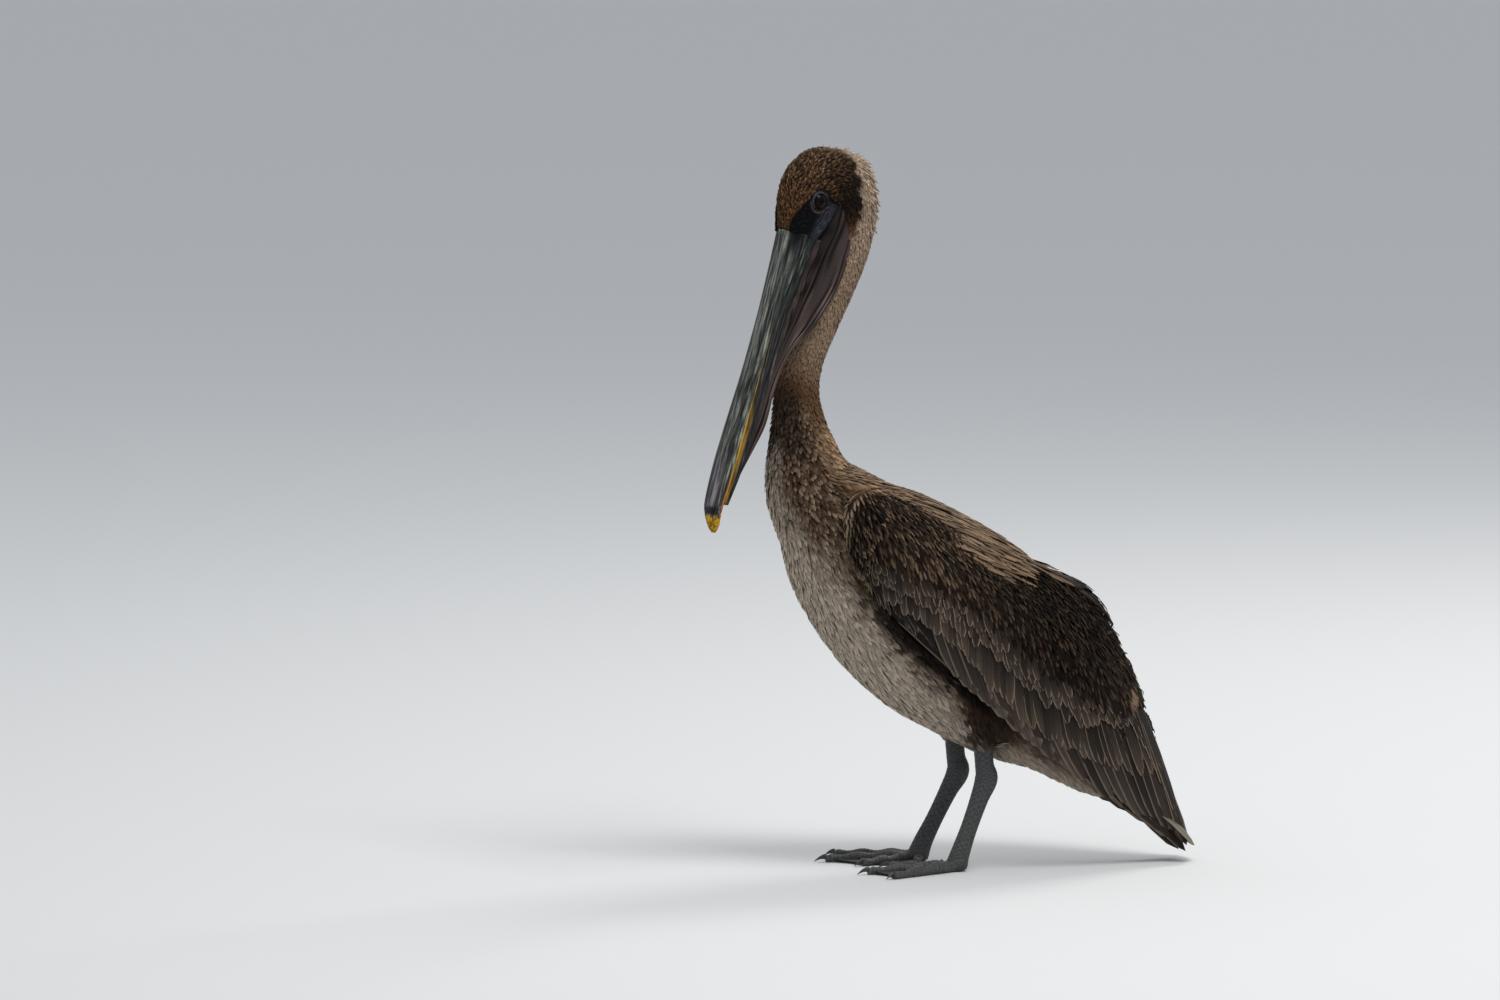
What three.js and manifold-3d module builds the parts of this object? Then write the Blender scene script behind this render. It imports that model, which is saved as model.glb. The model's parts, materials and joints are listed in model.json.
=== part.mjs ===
// Brown pelican, an immature bird standing at rest with its head turned to its left and the bill laid down
// along the foreneck. A still, life-size model in millimetres: +X is the way the body faces, +Y is its left
// side and +Z is up. The origin lies on the floor, under the middle of the whole bird's box.

import * as THREE from "three";
import { mergeVertices } from "three/addons/utils/BufferGeometryUtils.js";
import Module from "manifold-3d";

const wasm = await Module();
wasm.setup();

const V = (x, y, z) => new THREE.Vector3(x, y, z);
const TURN = 2 * Math.PI;

// ---------------------------------------------------------------- driving dimensions

const GAP = 0.35; // clear space between neighbouring pieces
const CULMEN = 315; // forehead feathers to the tip of the bill's hook
const HEAD_YAW = 33; // degrees the head is turned to the bird's left
const BILL_DROP = 71.5; // degrees the bill points below level
const HEAD_AT = V(132, 48, 652); // where the culmen leaves the forehead feathers
const EYE_RADIUS = 9.5;
const EYE_AT = V(-31.5, 20.5, -21); // from HEAD_AT, along the bill, to the left and up
const TARSUS_DEPTH = 8.5; // half its size fore and aft
const TARSUS_WIDTH = 6; // half its size across
const WEB = 2.2; // thickness of the skin between the toes
const WEB_RISE = 0.9; // how far it clears the floor that the toes stand on
const HEEL = 11; // radius of the pad where the toes meet
const TOE_JOINTS = 3; // swellings along each toe
const TOE_SWELL = 0.5; // how much each swelling adds to the toe's radius
const TOE_FLAT = 0.6; // depth of the flat that each toe stands on
const CLAW_ROOT = 2.7; // a claw's radius where it leaves the toe
const CLAW_TIP = 0.35;
const CLAW_ARCH = 2.6; // how high a claw arches on its way to the floor
const JAW_INSET = 1.2; // how far the lower jaw's sides lie inside the upper jaw's edge
const KEEL_ROUND = 0.3; // the share of the pouch's depth over which its sides turn in to the keel

// Ribs of the trunk and neck, from the tail root to the nape: the middle of the rib, then how far it reaches
// towards the back, towards the belly and to each side.
const TRUNK_RIBS = [
  { x: -240, z: 77, back: 12, belly: 14, side: 13 },
  { x: -225, z: 93, back: 31, belly: 38, side: 30 },
  { x: -196, z: 122, back: 54, belly: 56, side: 44 },
  { x: -164, z: 155, back: 76, belly: 73, side: 58 },
  { x: -115, z: 192, back: 95, belly: 91, side: 71 },
  { x: -68, z: 234, back: 101, belly: 107, side: 80 },
  { x: -17, z: 275, back: 96, belly: 106, side: 82 },
  { x: 29, z: 321, back: 78, belly: 94, side: 76 },
  { x: 61, z: 358, back: 54, belly: 76, side: 62 },
  { x: 87, z: 389, back: 41, belly: 56, side: 47 },
  { x: 100, z: 428, back: 33, belly: 38, side: 34 },
];
const NECK_RIBS = [
  { x: 105, z: 455, back: 28, belly: 28, side: 27 },
  { x: 106, z: 480, back: 24.5, belly: 24.5, side: 24 },
  { x: 101, z: 510, back: 23, belly: 23, side: 22.5 },
  { x: 87, z: 545, back: 23, belly: 23, side: 22 },
  { x: 72, z: 580, back: 24, belly: 24, side: 22.5 },
  { x: 58, y: 1, z: 618, back: 25.5, belly: 25.5, side: 24 },
  { x: 52, y: 4, z: 652, back: 27, belly: 27, side: 26 },
  { x: 54, y: 8, z: 682, back: 28, belly: 27, side: 27 },
  { x: 58, y: 11, z: 704, back: 23, belly: 22, side: 22 },
  { x: 61, y: 13, z: 718, back: 8, belly: 8, side: 8 },
];

// Stations of the head behind the bill, in the head's own frame, where x runs along the bill.
const SKULL = [
  { x: 4, top: -1, bottom: -46, side: 20 },
  { x: -10, top: 3, bottom: -54, side: 23 },
  { x: -25, top: 6, bottom: -60, side: 26 },
  { x: -42, top: 6, bottom: -66, side: 29 },
  { x: -57, top: 1, bottom: -69, side: 31 },
  { x: -70, top: -8, bottom: -70, side: 30 },
  { x: -82, top: -21, bottom: -68, side: 25 },
  { x: -88.5, top: -34, bottom: -63, side: 16 },
  { x: -91, top: -43, bottom: -55, side: 6 },
];

// Stations of the bill: half its width, the culmen's height, the edge of the upper jaw and, as far as the lower
// jaw reaches, its under edge.
const BILL = [
  { x: 4.4, half: 20, culmen: -0.5, edge: -21, under: -45 },
  { x: 25, half: 18.5, culmen: -1.5, edge: -18.5, under: -42 },
  { x: 50, half: 16.5, culmen: -1.9, edge: -15.5, under: -39.5 },
  { x: 85, half: 13.5, culmen: 0, edge: -12, under: -34 },
  { x: 117, half: 12.5, culmen: 1.7, edge: -9.3, under: -30.5 },
  { x: 151, half: 12.7, culmen: 3.4, edge: -7, under: -26 },
  { x: 190, half: 14, culmen: 6, edge: -4, under: -20 },
  { x: 224, half: 15, culmen: 8.6, edge: -1.5, under: -16 },
  { x: 255, half: 15, culmen: 10.3, edge: 0.5, under: -11.5 },
  { x: 286, half: 13, culmen: 11.3, edge: 2, under: -6.5 },
];
const NAIL = [
  { x: 298, half: 10.5, culmen: 10.2, edge: 0 },
  { x: 306, half: 8, culmen: 6.8, edge: -3.2 },
  { x: 312, half: 5, culmen: 2, edge: -5 },
  { x: CULMEN, half: 2, culmen: -2.2, edge: -5.6 },
];

// Stations of the skin pouch under the lower jaw: half its width at its top and at its keel.
const POUCH = [
  { x: -40, top: -56, keel: -84, half: 20, keelHalf: 15 },
  { x: -10, top: -50, keel: -90, half: 25, keelHalf: 21 },
  { x: 20, top: -42, keel: -90, half: 24, keelHalf: 21 },
  { x: 50, top: -39, keel: -85, half: 20, keelHalf: 18 },
  { x: 85, top: -34, keel: -73, half: 16, keelHalf: 12 },
  { x: 108, top: -31, keel: -57, half: 12.5, keelHalf: 8 },
  { x: 130, top: -28.5, keel: -46, half: 11, keelHalf: 5.5 },
  { x: 160, top: -24, keel: -42, half: 11, keelHalf: 4.5 },
  { x: 195, top: -19, keel: -41, half: 12, keelHalf: 4.5 },
  { x: 225, top: -15.5, keel: -31, half: 12.5, keelHalf: 4.5 },
  { x: 250, top: -12, keel: -21, half: 11.5, keelHalf: 4.5 },
  { x: 275, top: -8, keel: -12.5, half: 9, keelHalf: 4 },
];

// Stations of a folded left wing, from the wrist to the tip of the longest primary: its edge over the back and
// its edge along the flank as [x, y, z], how far it swells between them, and how thick it is.
const WING = [
  { top: [52, 60, 394], low: [72, 68, 378], swell: 3, thick: 7 },
  { top: [34, 55, 390], low: [70, 74, 330], swell: 13, thick: 14 },
  { top: [-20, 48, 362], low: [40, 80, 274], swell: 24, thick: 20 },
  { top: [-78, 42, 329], low: [-8, 84, 225], swell: 30, thick: 24 },
  { top: [-148, 31, 304], low: [-69, 82, 183], swell: 33, thick: 26 },
  { top: [-188, 22, 283], low: [-127, 74, 136], swell: 34, thick: 27 },
  { top: [-217, 15, 240], low: [-181, 60, 93], swell: 29, thick: 25 },
  { top: [-245, 10, 180], low: [-226, 42, 64], swell: 20, thick: 18 },
  { top: [-271, 8, 112], low: [-262, 27, 38], swell: 11, thick: 10 },
  { top: [-295, 8, 34], low: [-294, 12, 18], swell: 2, thick: 4 },
];
// The thin cuts that part a wing, where the coverts end and where the primaries stand out beyond the
// secondaries, and that end the thigh. Each is a point [x, z] on the cut and the direction across it.
const COVERTS_END = { at: [-190, 150], across: [-0.42, -0.91] };
const SECONDARIES_END = { at: [-238, 88], across: [-0.75, -0.66] };
const FEATHERS_END = { at: [0, 126], across: [0, -1] }; // where the leg feathers stop, above the ankle

// Middle line of the tail, with half its width and half its thickness.
const TAIL = [
  { x: -178, z: 112, half: 18, thick: 12 },
  { x: -220, z: 86, half: 32, thick: 9 },
  { x: -258, z: 58, half: 40, thick: 6 },
  { x: -284, z: 34, half: 38, thick: 3.5 },
  { x: -303, z: 11, half: 26, thick: 1.4 },
];

// Each leg: the ankle and where the toes meet. The right foot stands a little ahead of the left.
const LEGS = [
  { name: "left", side: 1, ankle: V(-80, 38, 91), root: V(-50, 44, 12) },
  { name: "right", side: -1, ankle: V(-68, -38, 90), root: V(-30, -44, 12) },
];
// The four toes of a left foot: the way each points, in degrees from straight ahead towards the bird's left,
// its length to the claw, and its thickness at the root and at the end.
const TOES = [
  { name: "hallux", aim: -72, length: 33, root: 4.6, end: 3.4, claw: 8 },
  { name: "inner", aim: -25, length: 72, root: 5.6, end: 3.8, claw: 10 },
  { name: "middle", aim: 6, length: 95, root: 6.2, end: 3.9, claw: 11 },
  { name: "outer", aim: 33, length: 92, root: 6.4, end: 3.8, claw: 10 },
];

// ---------------------------------------------------------------- finishes

const finish = (color, roughness) =>
  new THREE.MeshStandardMaterial({ color, roughness, metalness: 0 });
const FINISHES = {
  plumage: finish(0x6d6258, 0.9),
  belly: finish(0xa29c95, 0.9),
  crown: finish(0x6a5138, 0.9),
  bill: finish(0x667069, 0.45),
  pouch: finish(0x4c3f40, 0.6),
  eye: finish(0x120d0a, 0.08),
  wing: finish(0x4b4138, 0.85),
  quill: finish(0x4a4744, 0.7),
  leg: finish(0x3b3c3e, 0.6),
  claw: finish(0x232120, 0.4),
};

// ---------------------------------------------------------------- solids

// A closed solid through rings of points that all have the same count, with a fan over each end.
function loft(rings) {
  const count = rings[0].length;
  const points = rings.flat();
  const faces = [];
  for (let ring = 0; ring + 1 < rings.length; ring++)
    for (let i = 0; i < count; i++) {
      const a = ring * count + i;
      const b = ring * count + ((i + 1) % count);
      faces.push([a, b, b + count], [a, b + count, a + count]);
    }
  const last = (rings.length - 1) * count;
  for (const [start, flip] of [[0, true], [last, false]]) {
    const ring = points.slice(start, start + count);
    points.push(ring.reduce((sum, p) => sum.add(p), V(0, 0, 0)).divideScalar(count));
    for (let i = 0; i < count; i++) {
      const edge = [start + i, start + ((i + 1) % count)];
      faces.push([points.length - 1, ...(flip ? edge.reverse() : edge)]);
    }
  }
  return solidOf(points, faces);
}

// A manifold solid from points and triangles, turned so that its faces point out.
function solidOf(points, faces) {
  const vertProperties = new Float32Array(points.flatMap((p) => [p.x, p.y, p.z]));
  const build = (list) =>
    new wasm.Manifold(
      new wasm.Mesh({ numProp: 3, vertProperties, triVerts: new Uint32Array(list.flat()) }),
    );
  const made = build(faces);
  return made.volume() > 0 ? made : build(faces.map(([a, b, c]) => [a, c, b]));
}

// A manifold solid from one of three.js's own closed geometries.
function solidOfGeometry(geometry) {
  const bare = new THREE.BufferGeometry();
  const loose = geometry.index ? geometry.toNonIndexed() : geometry;
  bare.setAttribute("position", loose.getAttribute("position"));
  const merged = mergeVertices(bare, 1e-4);
  return new wasm.Manifold(
    new wasm.Mesh({
      numProp: 3,
      vertProperties: merged.attributes.position.array,
      triVerts: new Uint32Array(merged.index.array),
    }),
  );
}

// The largest body of a solid, which drops the crumbs that a cut can leave.
function largest(solid) {
  return solid.decompose().reduce((best, body) => (body.volume() > best.volume() ? body : best));
}

// The solid with its neighbours, given a gap larger than themselves, cut away.
const without = (solid, ...neighbours) =>
  largest(neighbours.reduce((left, other) => left.subtract(other), solid));

// One named mesh of the model.
function piece(name, solid, material) {
  const { numProp, vertProperties, triVerts } = solid.getMesh();
  const position = [];
  for (let i = 0; i < vertProperties.length; i += numProp)
    position.push(vertProperties[i], vertProperties[i + 1], vertProperties[i + 2]);
  const geometry = new THREE.BufferGeometry();
  geometry.setAttribute("position", new THREE.Float32BufferAttribute(position, 3));
  geometry.setIndex([...triVerts]);
  geometry.computeVertexNormals();
  const mesh = new THREE.Mesh(geometry, material);
  mesh.name = name;
  return mesh;
}

// A smooth curve through three of the numbers of each station, read at 0 to 1.
function through(stations, read) {
  const points = stations.map((s) => V(...read(s)));
  return new THREE.CatmullRomCurve3(points, false, "catmullrom", 0.5);
}

const spread = (from, to, steps) =>
  Array.from({ length: steps + 1 }, (_, i) => from + ((to - from) * i) / steps);

// The head's own frame, as a group that holds its pieces, and rings of points moved into or out of it.
const headGroup = new THREE.Group();
headGroup.position.copy(HEAD_AT);
headGroup.rotation.set(0, THREE.MathUtils.degToRad(BILL_DROP), THREE.MathUtils.degToRad(HEAD_YAW), "ZYX");
headGroup.updateMatrix();
const outOfHead = headGroup.matrix;
const intoHead = outOfHead.clone().invert();
const moved = (rings, matrix) => rings.map((ring) => ring.map((p) => p.clone().applyMatrix4(matrix)));

// ---------------------------------------------------------------- trunk and neck

const RIBS = [...TRUNK_RIBS, ...NECK_RIBS];
const spine = through(RIBS, (r) => [r.x, r.y ?? 0, r.z]);
const reach = through(RIBS, (r) => [r.back, r.belly, r.side]);

// One ring round the spine: `at` runs from 0 at the tail root to 1 at the nape.
function rib(at, sides, grow = 0) {
  const middle = spine.getPoint(at);
  const ahead = spine.getTangent(at);
  const toBack = ahead.clone().cross(V(0, 1, 0)).normalize();
  const toLeft = toBack.clone().cross(ahead);
  const { x: back, y: belly, z: side } = reach.getPoint(at);
  return spread(0, TURN, sides).slice(0, -1).map((angle) => {
    const up = Math.cos(angle);
    return middle
      .clone()
      .addScaledVector(toBack, up * ((up > 0 ? back : belly) + grow))
      .addScaledVector(toLeft, Math.sin(angle) * (side + grow));
  });
}

const BODY_SIDES = 20;
const NECK_SIDES = 18;
const ribAt = (index) => index / (RIBS.length - 1);
const NECK_STARTS = ribAt(TRUNK_RIBS.length - 1);
const NECK_CUTS = [NECK_STARTS, ribAt(13), ribAt(15.5), 1];
const CUT = 0.0006; // how much of the spine each thin cut through the neck takes

const trunkLoft = (grow) =>
  loft(spread(0, NECK_STARTS - CUT, 16).map((at) => rib(at, BODY_SIDES, grow)));
const neckStops = (i) => spread(NECK_CUTS[i] + CUT, NECK_CUTS[i + 1] - CUT, i < 2 ? 4 : 6);
const neckRings = (i, grow = 0) => neckStops(i).map((at) => rib(at, NECK_SIDES, grow));

// ---------------------------------------------------------------- head, bill, pouch and eyes

// Oval rings across the head, from the root of the bill to the back of the skull.
function skullRings(grow) {
  const heights = through(SKULL, (s) => [s.x, s.top, s.bottom]);
  const widths = through(SKULL, (s) => [s.x, s.side, 0]);
  return spread(0, 1, 11).map((at) => {
    const { x, y: top, z: bottom } = heights.getPoint(at);
    const side = widths.getPoint(at).y + grow;
    const half = (top - bottom) / 2 + grow;
    const ends = at === 0 ? grow : at === 1 ? -grow : 0;
    return spread(0, TURN, 18).slice(0, -1).map((angle) =>
      V(x + ends, side * Math.sin(angle), (top + bottom) / 2 + half * Math.cos(angle)),
    );
  });
}

const eyeball = (side, grow = 0) =>
  solidOfGeometry(
    new THREE.SphereGeometry(EYE_RADIUS + grow, 10, 7).translate(
      EYE_AT.x, side * EYE_AT.y, EYE_AT.z,
    ),
  );

// The upper jaw in section: a raised culmen between two shallow grooves, sloping sides and a flat palate.
const UPPER_SECTION = [
  [0, 0], [0.2, 0.03], [0.3, 0.26], [0.62, 0.4], [0.92, 0.7], [1, 0.94], [0.9, 1], [0.4, 1],
];
function upperJaw() {
  const stations = [...BILL, ...NAIL];
  const frame = through(stations, (s) => [s.x, s.culmen, s.edge]);
  const halves = through(stations, (s) => [s.x, s.half, 0]);
  return loft(
    spread(0, 1, 17).map((at) => {
      const { x, y: culmen, z: edge } = frame.getPoint(at);
      const half = halves.getPoint(at).y;
      const left = UPPER_SECTION.map(([out, down]) =>
        V(x, out * half, culmen + (edge - culmen) * down),
      );
      const right = left.slice(1).reverse().map((p) => V(p.x, -p.y, p.z));
      return [...left, ...right];
    }),
  );
}

// The lower jaw: its two thin arms and the skin stretched between them, as one solid under the upper jaw.
function lowerJaw(grow = 0) {
  const frame = through(BILL, (s) => [s.x, s.edge, s.under]);
  const halves = through(BILL, (s) => [s.x, s.half, 0]);
  return loft(
    spread(0, 1, 12).map((at) => {
      const { x, y: edge, z: under } = frame.getPoint(at);
      const half = halves.getPoint(at).y - JAW_INSET + grow;
      const top = edge - GAP + grow;
      const low = under - grow;
      const wall = (out, down) => V(x, out * half, top + (low - top) * down);
      const left = [wall(0.94, 0), wall(1, 0.2), wall(1, 0.6), wall(0.9, 1)];
      return [...left, ...left.slice().reverse().map((p) => V(p.x, -p.y, p.z))];
    }),
  );
}

function pouchLoft() {
  const frame = through(POUCH, (s) => [s.x, s.top, s.keel]);
  const halves = through(POUCH, (s) => [s.x, s.half, s.keelHalf]);
  return loft(
    spread(0, 1, 15).map((at) => {
      const { x, y: top, z: keel } = frame.getPoint(at);
      const { y: half, z: keelHalf } = halves.getPoint(at);
      const left = spread(0, 1, 5).map((down) => {
        const turning = THREE.MathUtils.clamp((down - 1) / KEEL_ROUND + 1, 0, 1);
        const out = (half + (keelHalf - half) * down) * (0.3 + 0.7 * Math.sqrt(1 - turning ** 2));
        return V(x, out, top - GAP + (keel - top) * down);
      });
      return [...left, ...left.slice().reverse().map((p) => V(p.x, -p.y, p.z))];
    }),
  );
}

// ---------------------------------------------------------------- wings and tail

// One section of a folded wing: out over the feathers from the back to the flank, then back along the inside.
function wingRing(at, side, grow) {
  const top = wingTop.getPoint(at);
  const low = wingLow.getPoint(at);
  const { x: swell, y: thick } = wingForm.getPoint(at);
  const edge = top.distanceTo(low);
  const skin = (down, inwards) => {
    const t = 0.5 + (down - 0.5) * (1 + (2 * grow) / edge);
    const bow = Math.sin(Math.PI * down);
    const p = top.clone().lerp(low, t);
    p.y += swell * bow - inwards * (thick * (0.35 + 0.65 * bow) + grow);
    p.y = Math.max(p.y, GAP) * side;
    return p;
  };
  const downs = spread(0, 1, 6);
  return [
    ...downs.map((down) => skin(down, 0)),
    ...downs.reverse().map((down) => skin(0.5 + (down - 0.5) * 0.96, 1)),
  ];
}
const wingTop = through(WING, (s) => s.top);
const wingLow = through(WING, (s) => s.low);
const wingForm = through(WING, (s) => [s.swell, s.thick, 0]);
const wingLoft = (side, grow = 0) => loft(spread(0, 1, 18).map((at) => wingRing(at, side, grow)));

// A block that fills all space on the far side of a thin cut.
function beyond({ at, across }, setBack) {
  const block = 1000;
  const direction = V(across[0], 0, across[1]).normalize();
  const geometry = new THREE.BoxGeometry(block, block, block).translate(block / 2, 0, 0);
  const turn = new THREE.Quaternion().setFromUnitVectors(V(1, 0, 0), direction);
  geometry.applyQuaternion(turn);
  geometry.translate(
    at[0] + direction.x * setBack,
    0,
    at[1] + direction.z * setBack,
  );
  return solidOfGeometry(geometry);
}

function tailLoft() {
  const frame = through(TAIL, (s) => [s.x, 0, s.z]);
  const sizes = through(TAIL, (s) => [s.half, s.thick, 0]);
  return loft(
    spread(0, 1, 6).map((at) => {
      const middle = frame.getPoint(at);
      const raised = frame.getTangent(at).cross(V(0, 1, 0)).normalize().negate();
      const { x: half, y: thick } = sizes.getPoint(at);
      return spread(0, TURN, 12).slice(0, -1).map((angle) =>
        middle
          .clone()
          .add(V(0, half * Math.sin(angle), 0))
          .addScaledVector(raised, thick * Math.cos(angle)),
      );
    }),
  );
}

// ---------------------------------------------------------------- legs and feet

// A limb of oval sections: each station is a point, half its depth fore and aft and half its width.
function limb(stations, steps, sides) {
  const frame = through(stations, (s) => s.at);
  const sizes = through(stations, (s) => [s.depth, s.width, 0]);
  return loft(
    spread(0, 1, steps).map((t) => {
      const middle = frame.getPoint(t);
      const along = frame.getTangent(t);
      const fore = V(0, 1, 0).cross(along).normalize();
      const across = along.clone().cross(fore);
      const { x: depth, y: width } = sizes.getPoint(t);
      return spread(0, TURN, sides).slice(0, -1).map((angle) =>
        middle
          .clone()
          .addScaledVector(fore, depth * Math.cos(angle))
          .addScaledVector(across, width * Math.sin(angle)),
      );
    }),
  );
}

function thighSolid({ side, ankle }) {
  return limb(
    [
      { at: [ankle.x + 54, side * 50, 222], depth: 32, width: 26 },
      { at: [ankle.x + 32, side * 47, 186], depth: 30, width: 24 },
      { at: [ankle.x + 15, side * 43, 158], depth: 23, width: 19 },
      { at: [ankle.x + 6, side * 40, 137], depth: 15.5, width: 13.5 },
      { at: [ankle.x + 4, side * 39, 122], depth: 11.5, width: 10 },
    ],
    7,
    14,
  );
}

function shankSolid({ side, ankle, root }) {
  const down = (share) => ankle.clone().lerp(root, share).toArray();
  return limb(
    [
      { at: [ankle.x + 4, side * 39, 132], depth: 10, width: 8 },
      { at: [ankle.x + 2, side * 38.5, 106], depth: 9.5, width: 7.5 },
      { at: ankle.toArray(), depth: 11.5, width: 8.5 },
      { at: down(0.25), depth: TARSUS_DEPTH + 0.8, width: TARSUS_WIDTH + 0.6 },
      { at: down(0.6), depth: TARSUS_DEPTH, width: TARSUS_WIDTH },
      { at: down(0.88), depth: TARSUS_DEPTH + 1, width: TARSUS_WIDTH + 1.5 },
      { at: [root.x + 2, root.y, root.z - 7], depth: TARSUS_DEPTH + 2.5, width: TARSUS_WIDTH + 3 },
    ],
    11,
    10,
  );
}

const toeAim = (toe, side) => {
  const angle = THREE.MathUtils.degToRad(toe.aim) * side;
  return V(Math.cos(angle), Math.sin(angle), 0);
};

// A toe lies on the floor: three swollen joints along it, each with its middle a little under its own radius.
function toeSolid(toe, side, root, grow) {
  const aim = toeAim(toe, side);
  const across = V(-aim.y, aim.x, 0);
  return loft(
    spread(-0.06, 1, 5).map((at) => {
      const taper = toe.root + (toe.end - toe.root) * at;
      const swollen = taper + TOE_SWELL * Math.cos(at * TOE_JOINTS * TURN);
      const radius = swollen * (at === 1 ? 0.75 : 1) + grow;
      const middle = V(root.x, root.y, radius - TOE_FLAT).addScaledVector(aim, at * toe.length);
      return spread(0, TURN, 6).slice(0, -1).map((angle) =>
        middle
          .clone()
          .addScaledVector(across, radius * Math.cos(angle))
          .add(V(0, 0, radius * Math.sin(angle))),
      );
    }),
  );
}

// The web joins all four toes, with its free edge curved in between each pair.
function webSolid(side, root, grow) {
  const ends = TOES.map((toe) => toeAim(toe, side).multiplyScalar(toe.length * 0.95));
  const outline = new THREE.Shape();
  outline.moveTo(-4, 0);
  outline.lineTo(ends[0].x, ends[0].y);
  ends.slice(1).forEach((end, i) => {
    const inset = ends[i].clone().add(end).multiplyScalar(0.5 * 0.88);
    outline.quadraticCurveTo(inset.x, inset.y, end.x, end.y);
  });
  outline.lineTo(-4, side * 4);
  const sheet = new THREE.ExtrudeGeometry(outline, {
    depth: WEB + 2 * grow,
    bevelEnabled: false,
    curveSegments: 3,
  });
  return solidOfGeometry(sheet.translate(root.x, root.y, WEB_RISE - grow));
}

function footSolid({ side, root }, grow = 0) {
  const heel = new THREE.SphereGeometry(HEEL + grow, 8, 5)
    .scale(1, 0.9, 0.8)
    .translate(root.x + 1, root.y, 7);
  const floor = new THREE.BoxGeometry(400, 400, 40).translate(root.x, root.y, -20 - grow);
  return TOES.map((toe) => toeSolid(toe, side, root, grow))
    .reduce((foot, toe) => foot.add(toe), webSolid(side, root, grow).add(solidOfGeometry(heel)))
    .subtract(solidOfGeometry(floor));
}

// A claw hooks forward and down from the end of its toe to the floor.
function clawSolid(toe, side, root) {
  const aim = toeAim(toe, side);
  const across = V(-aim.y, aim.x, 0);
  const base = V(root.x, root.y, 0).addScaledVector(aim, toe.length + GAP);
  return loft(
    spread(0, 1, 3).map((at) => {
      const radius = CLAW_ROOT * (1 - at) + CLAW_TIP;
      const height = radius + 0.1 + CLAW_ARCH * Math.sin(Math.PI * (0.25 + 0.75 * at));
      const middle = base.clone().addScaledVector(aim, at * toe.claw).setZ(height);
      return spread(0, TURN, 6).slice(0, -1).map((angle) =>
        middle
          .clone()
          .addScaledVector(across, 0.7 * radius * Math.cos(angle))
          .add(V(0, 0, radius * Math.sin(angle))),
      );
    }),
  );
}

// ---------------------------------------------------------------- the bird

function buildHead() {
  const skull = without(loft(skullRings(0)), eyeball(1, GAP), eyeball(-1, GAP));
  const neckRoom = loft(moved([0, 1, 2].flatMap((i) => neckRings(i, GAP)), intoHead));
  const pouch = without(pouchLoft(), loft(skullRings(GAP)), lowerJaw(GAP), neckRoom);
  return headGroup.add(
    piece("head", skull, FINISHES.crown),
    piece("bill_upper", upperJaw(), FINISHES.bill),
    piece("bill_lower", lowerJaw(), FINISHES.bill),
    piece("pouch", pouch, FINISHES.pouch),
    piece("eye_left", eyeball(1), FINISHES.eye),
    piece("eye_right", eyeball(-1), FINISHES.eye),
  );
}

function buildNeck() {
  const skullRoom = loft(moved(skullRings(GAP), outOfHead));
  return ["neck_lower", "neck_middle", "neck_upper"].map((name, i) =>
    piece(name, without(loft(neckRings(i)), skullRoom), FINISHES.plumage),
  );
}

function buildWing(name, side, trunk) {
  const wing = without(wingLoft(side), trunk);
  const flight = (setBack) => wing.intersect(beyond(COVERTS_END, setBack));
  return [
    piece(`${name}_coverts`, without(wing, beyond(COVERTS_END, -GAP)), FINISHES.wing),
    piece(
      `${name}_secondaries`,
      without(flight(0), beyond(SECONDARIES_END, -GAP)),
      FINISHES.quill,
    ),
    piece(
      `${name}_primaries`,
      largest(flight(0).intersect(beyond(SECONDARIES_END, 0))),
      FINISHES.quill,
    ),
  ];
}

function buildLeg(leg, trunkRoom) {
  const { name, side, root } = leg;
  const thigh = without(thighSolid(leg), trunkRoom, beyond(FEATHERS_END, 0));
  const bare = shankSolid(leg).intersect(beyond(FEATHERS_END, GAP));
  return [
    piece(`thigh_${name}`, thigh, FINISHES.belly),
    piece(`shank_${name}`, without(bare, footSolid(leg, GAP), trunkRoom), FINISHES.leg),
    piece(`foot_${name}`, footSolid(leg), FINISHES.leg),
    ...TOES.map((toe) =>
      piece(`claw_${name}_${toe.name}`, clawSolid(toe, side, root), FINISHES.claw),
    ),
  ];
}

function buildPelican() {
  const bird = new THREE.Group();
  const wings = [1, -1].map((side) => wingLoft(side, GAP));
  const trunk = without(trunkLoft(0), ...wings);
  const trunkRoom = trunkLoft(GAP);
  bird.add(piece("trunk", trunk, FINISHES.belly));
  bird.add(...buildNeck(), buildHead());
  bird.add(...buildWing("wing_left", 1, trunk), ...buildWing("wing_right", -1, trunk));
  bird.add(piece("tail", without(tailLoft(), trunkRoom, ...wings), FINISHES.quill));
  bird.add(...LEGS.flatMap((leg) => buildLeg(leg, trunkRoom)));
  const box = new THREE.Box3().setFromObject(bird, true);
  const middle = box.getCenter(V(0, 0, 0));
  bird.position.set(-middle.x, -middle.y, -box.min.z);
  return bird;
}

export default buildPelican();
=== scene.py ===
# %% [markdown]
# # A brown pelican at rest
# This lesson dresses a life-size model of a young brown pelican in skin, horn and feathers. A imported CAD
# model gives the size and the place of every part. The CAD solids end at the tips of the coat, so the skin
# made here lies deeper and the feathers fill the space between. Lengths are written in millimetres in the
# bird's own frame, with +X the way the body faces, +Y its left side and +Z up, and are turned into metres
# at the end.

# %% Load the frame
import math

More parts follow.
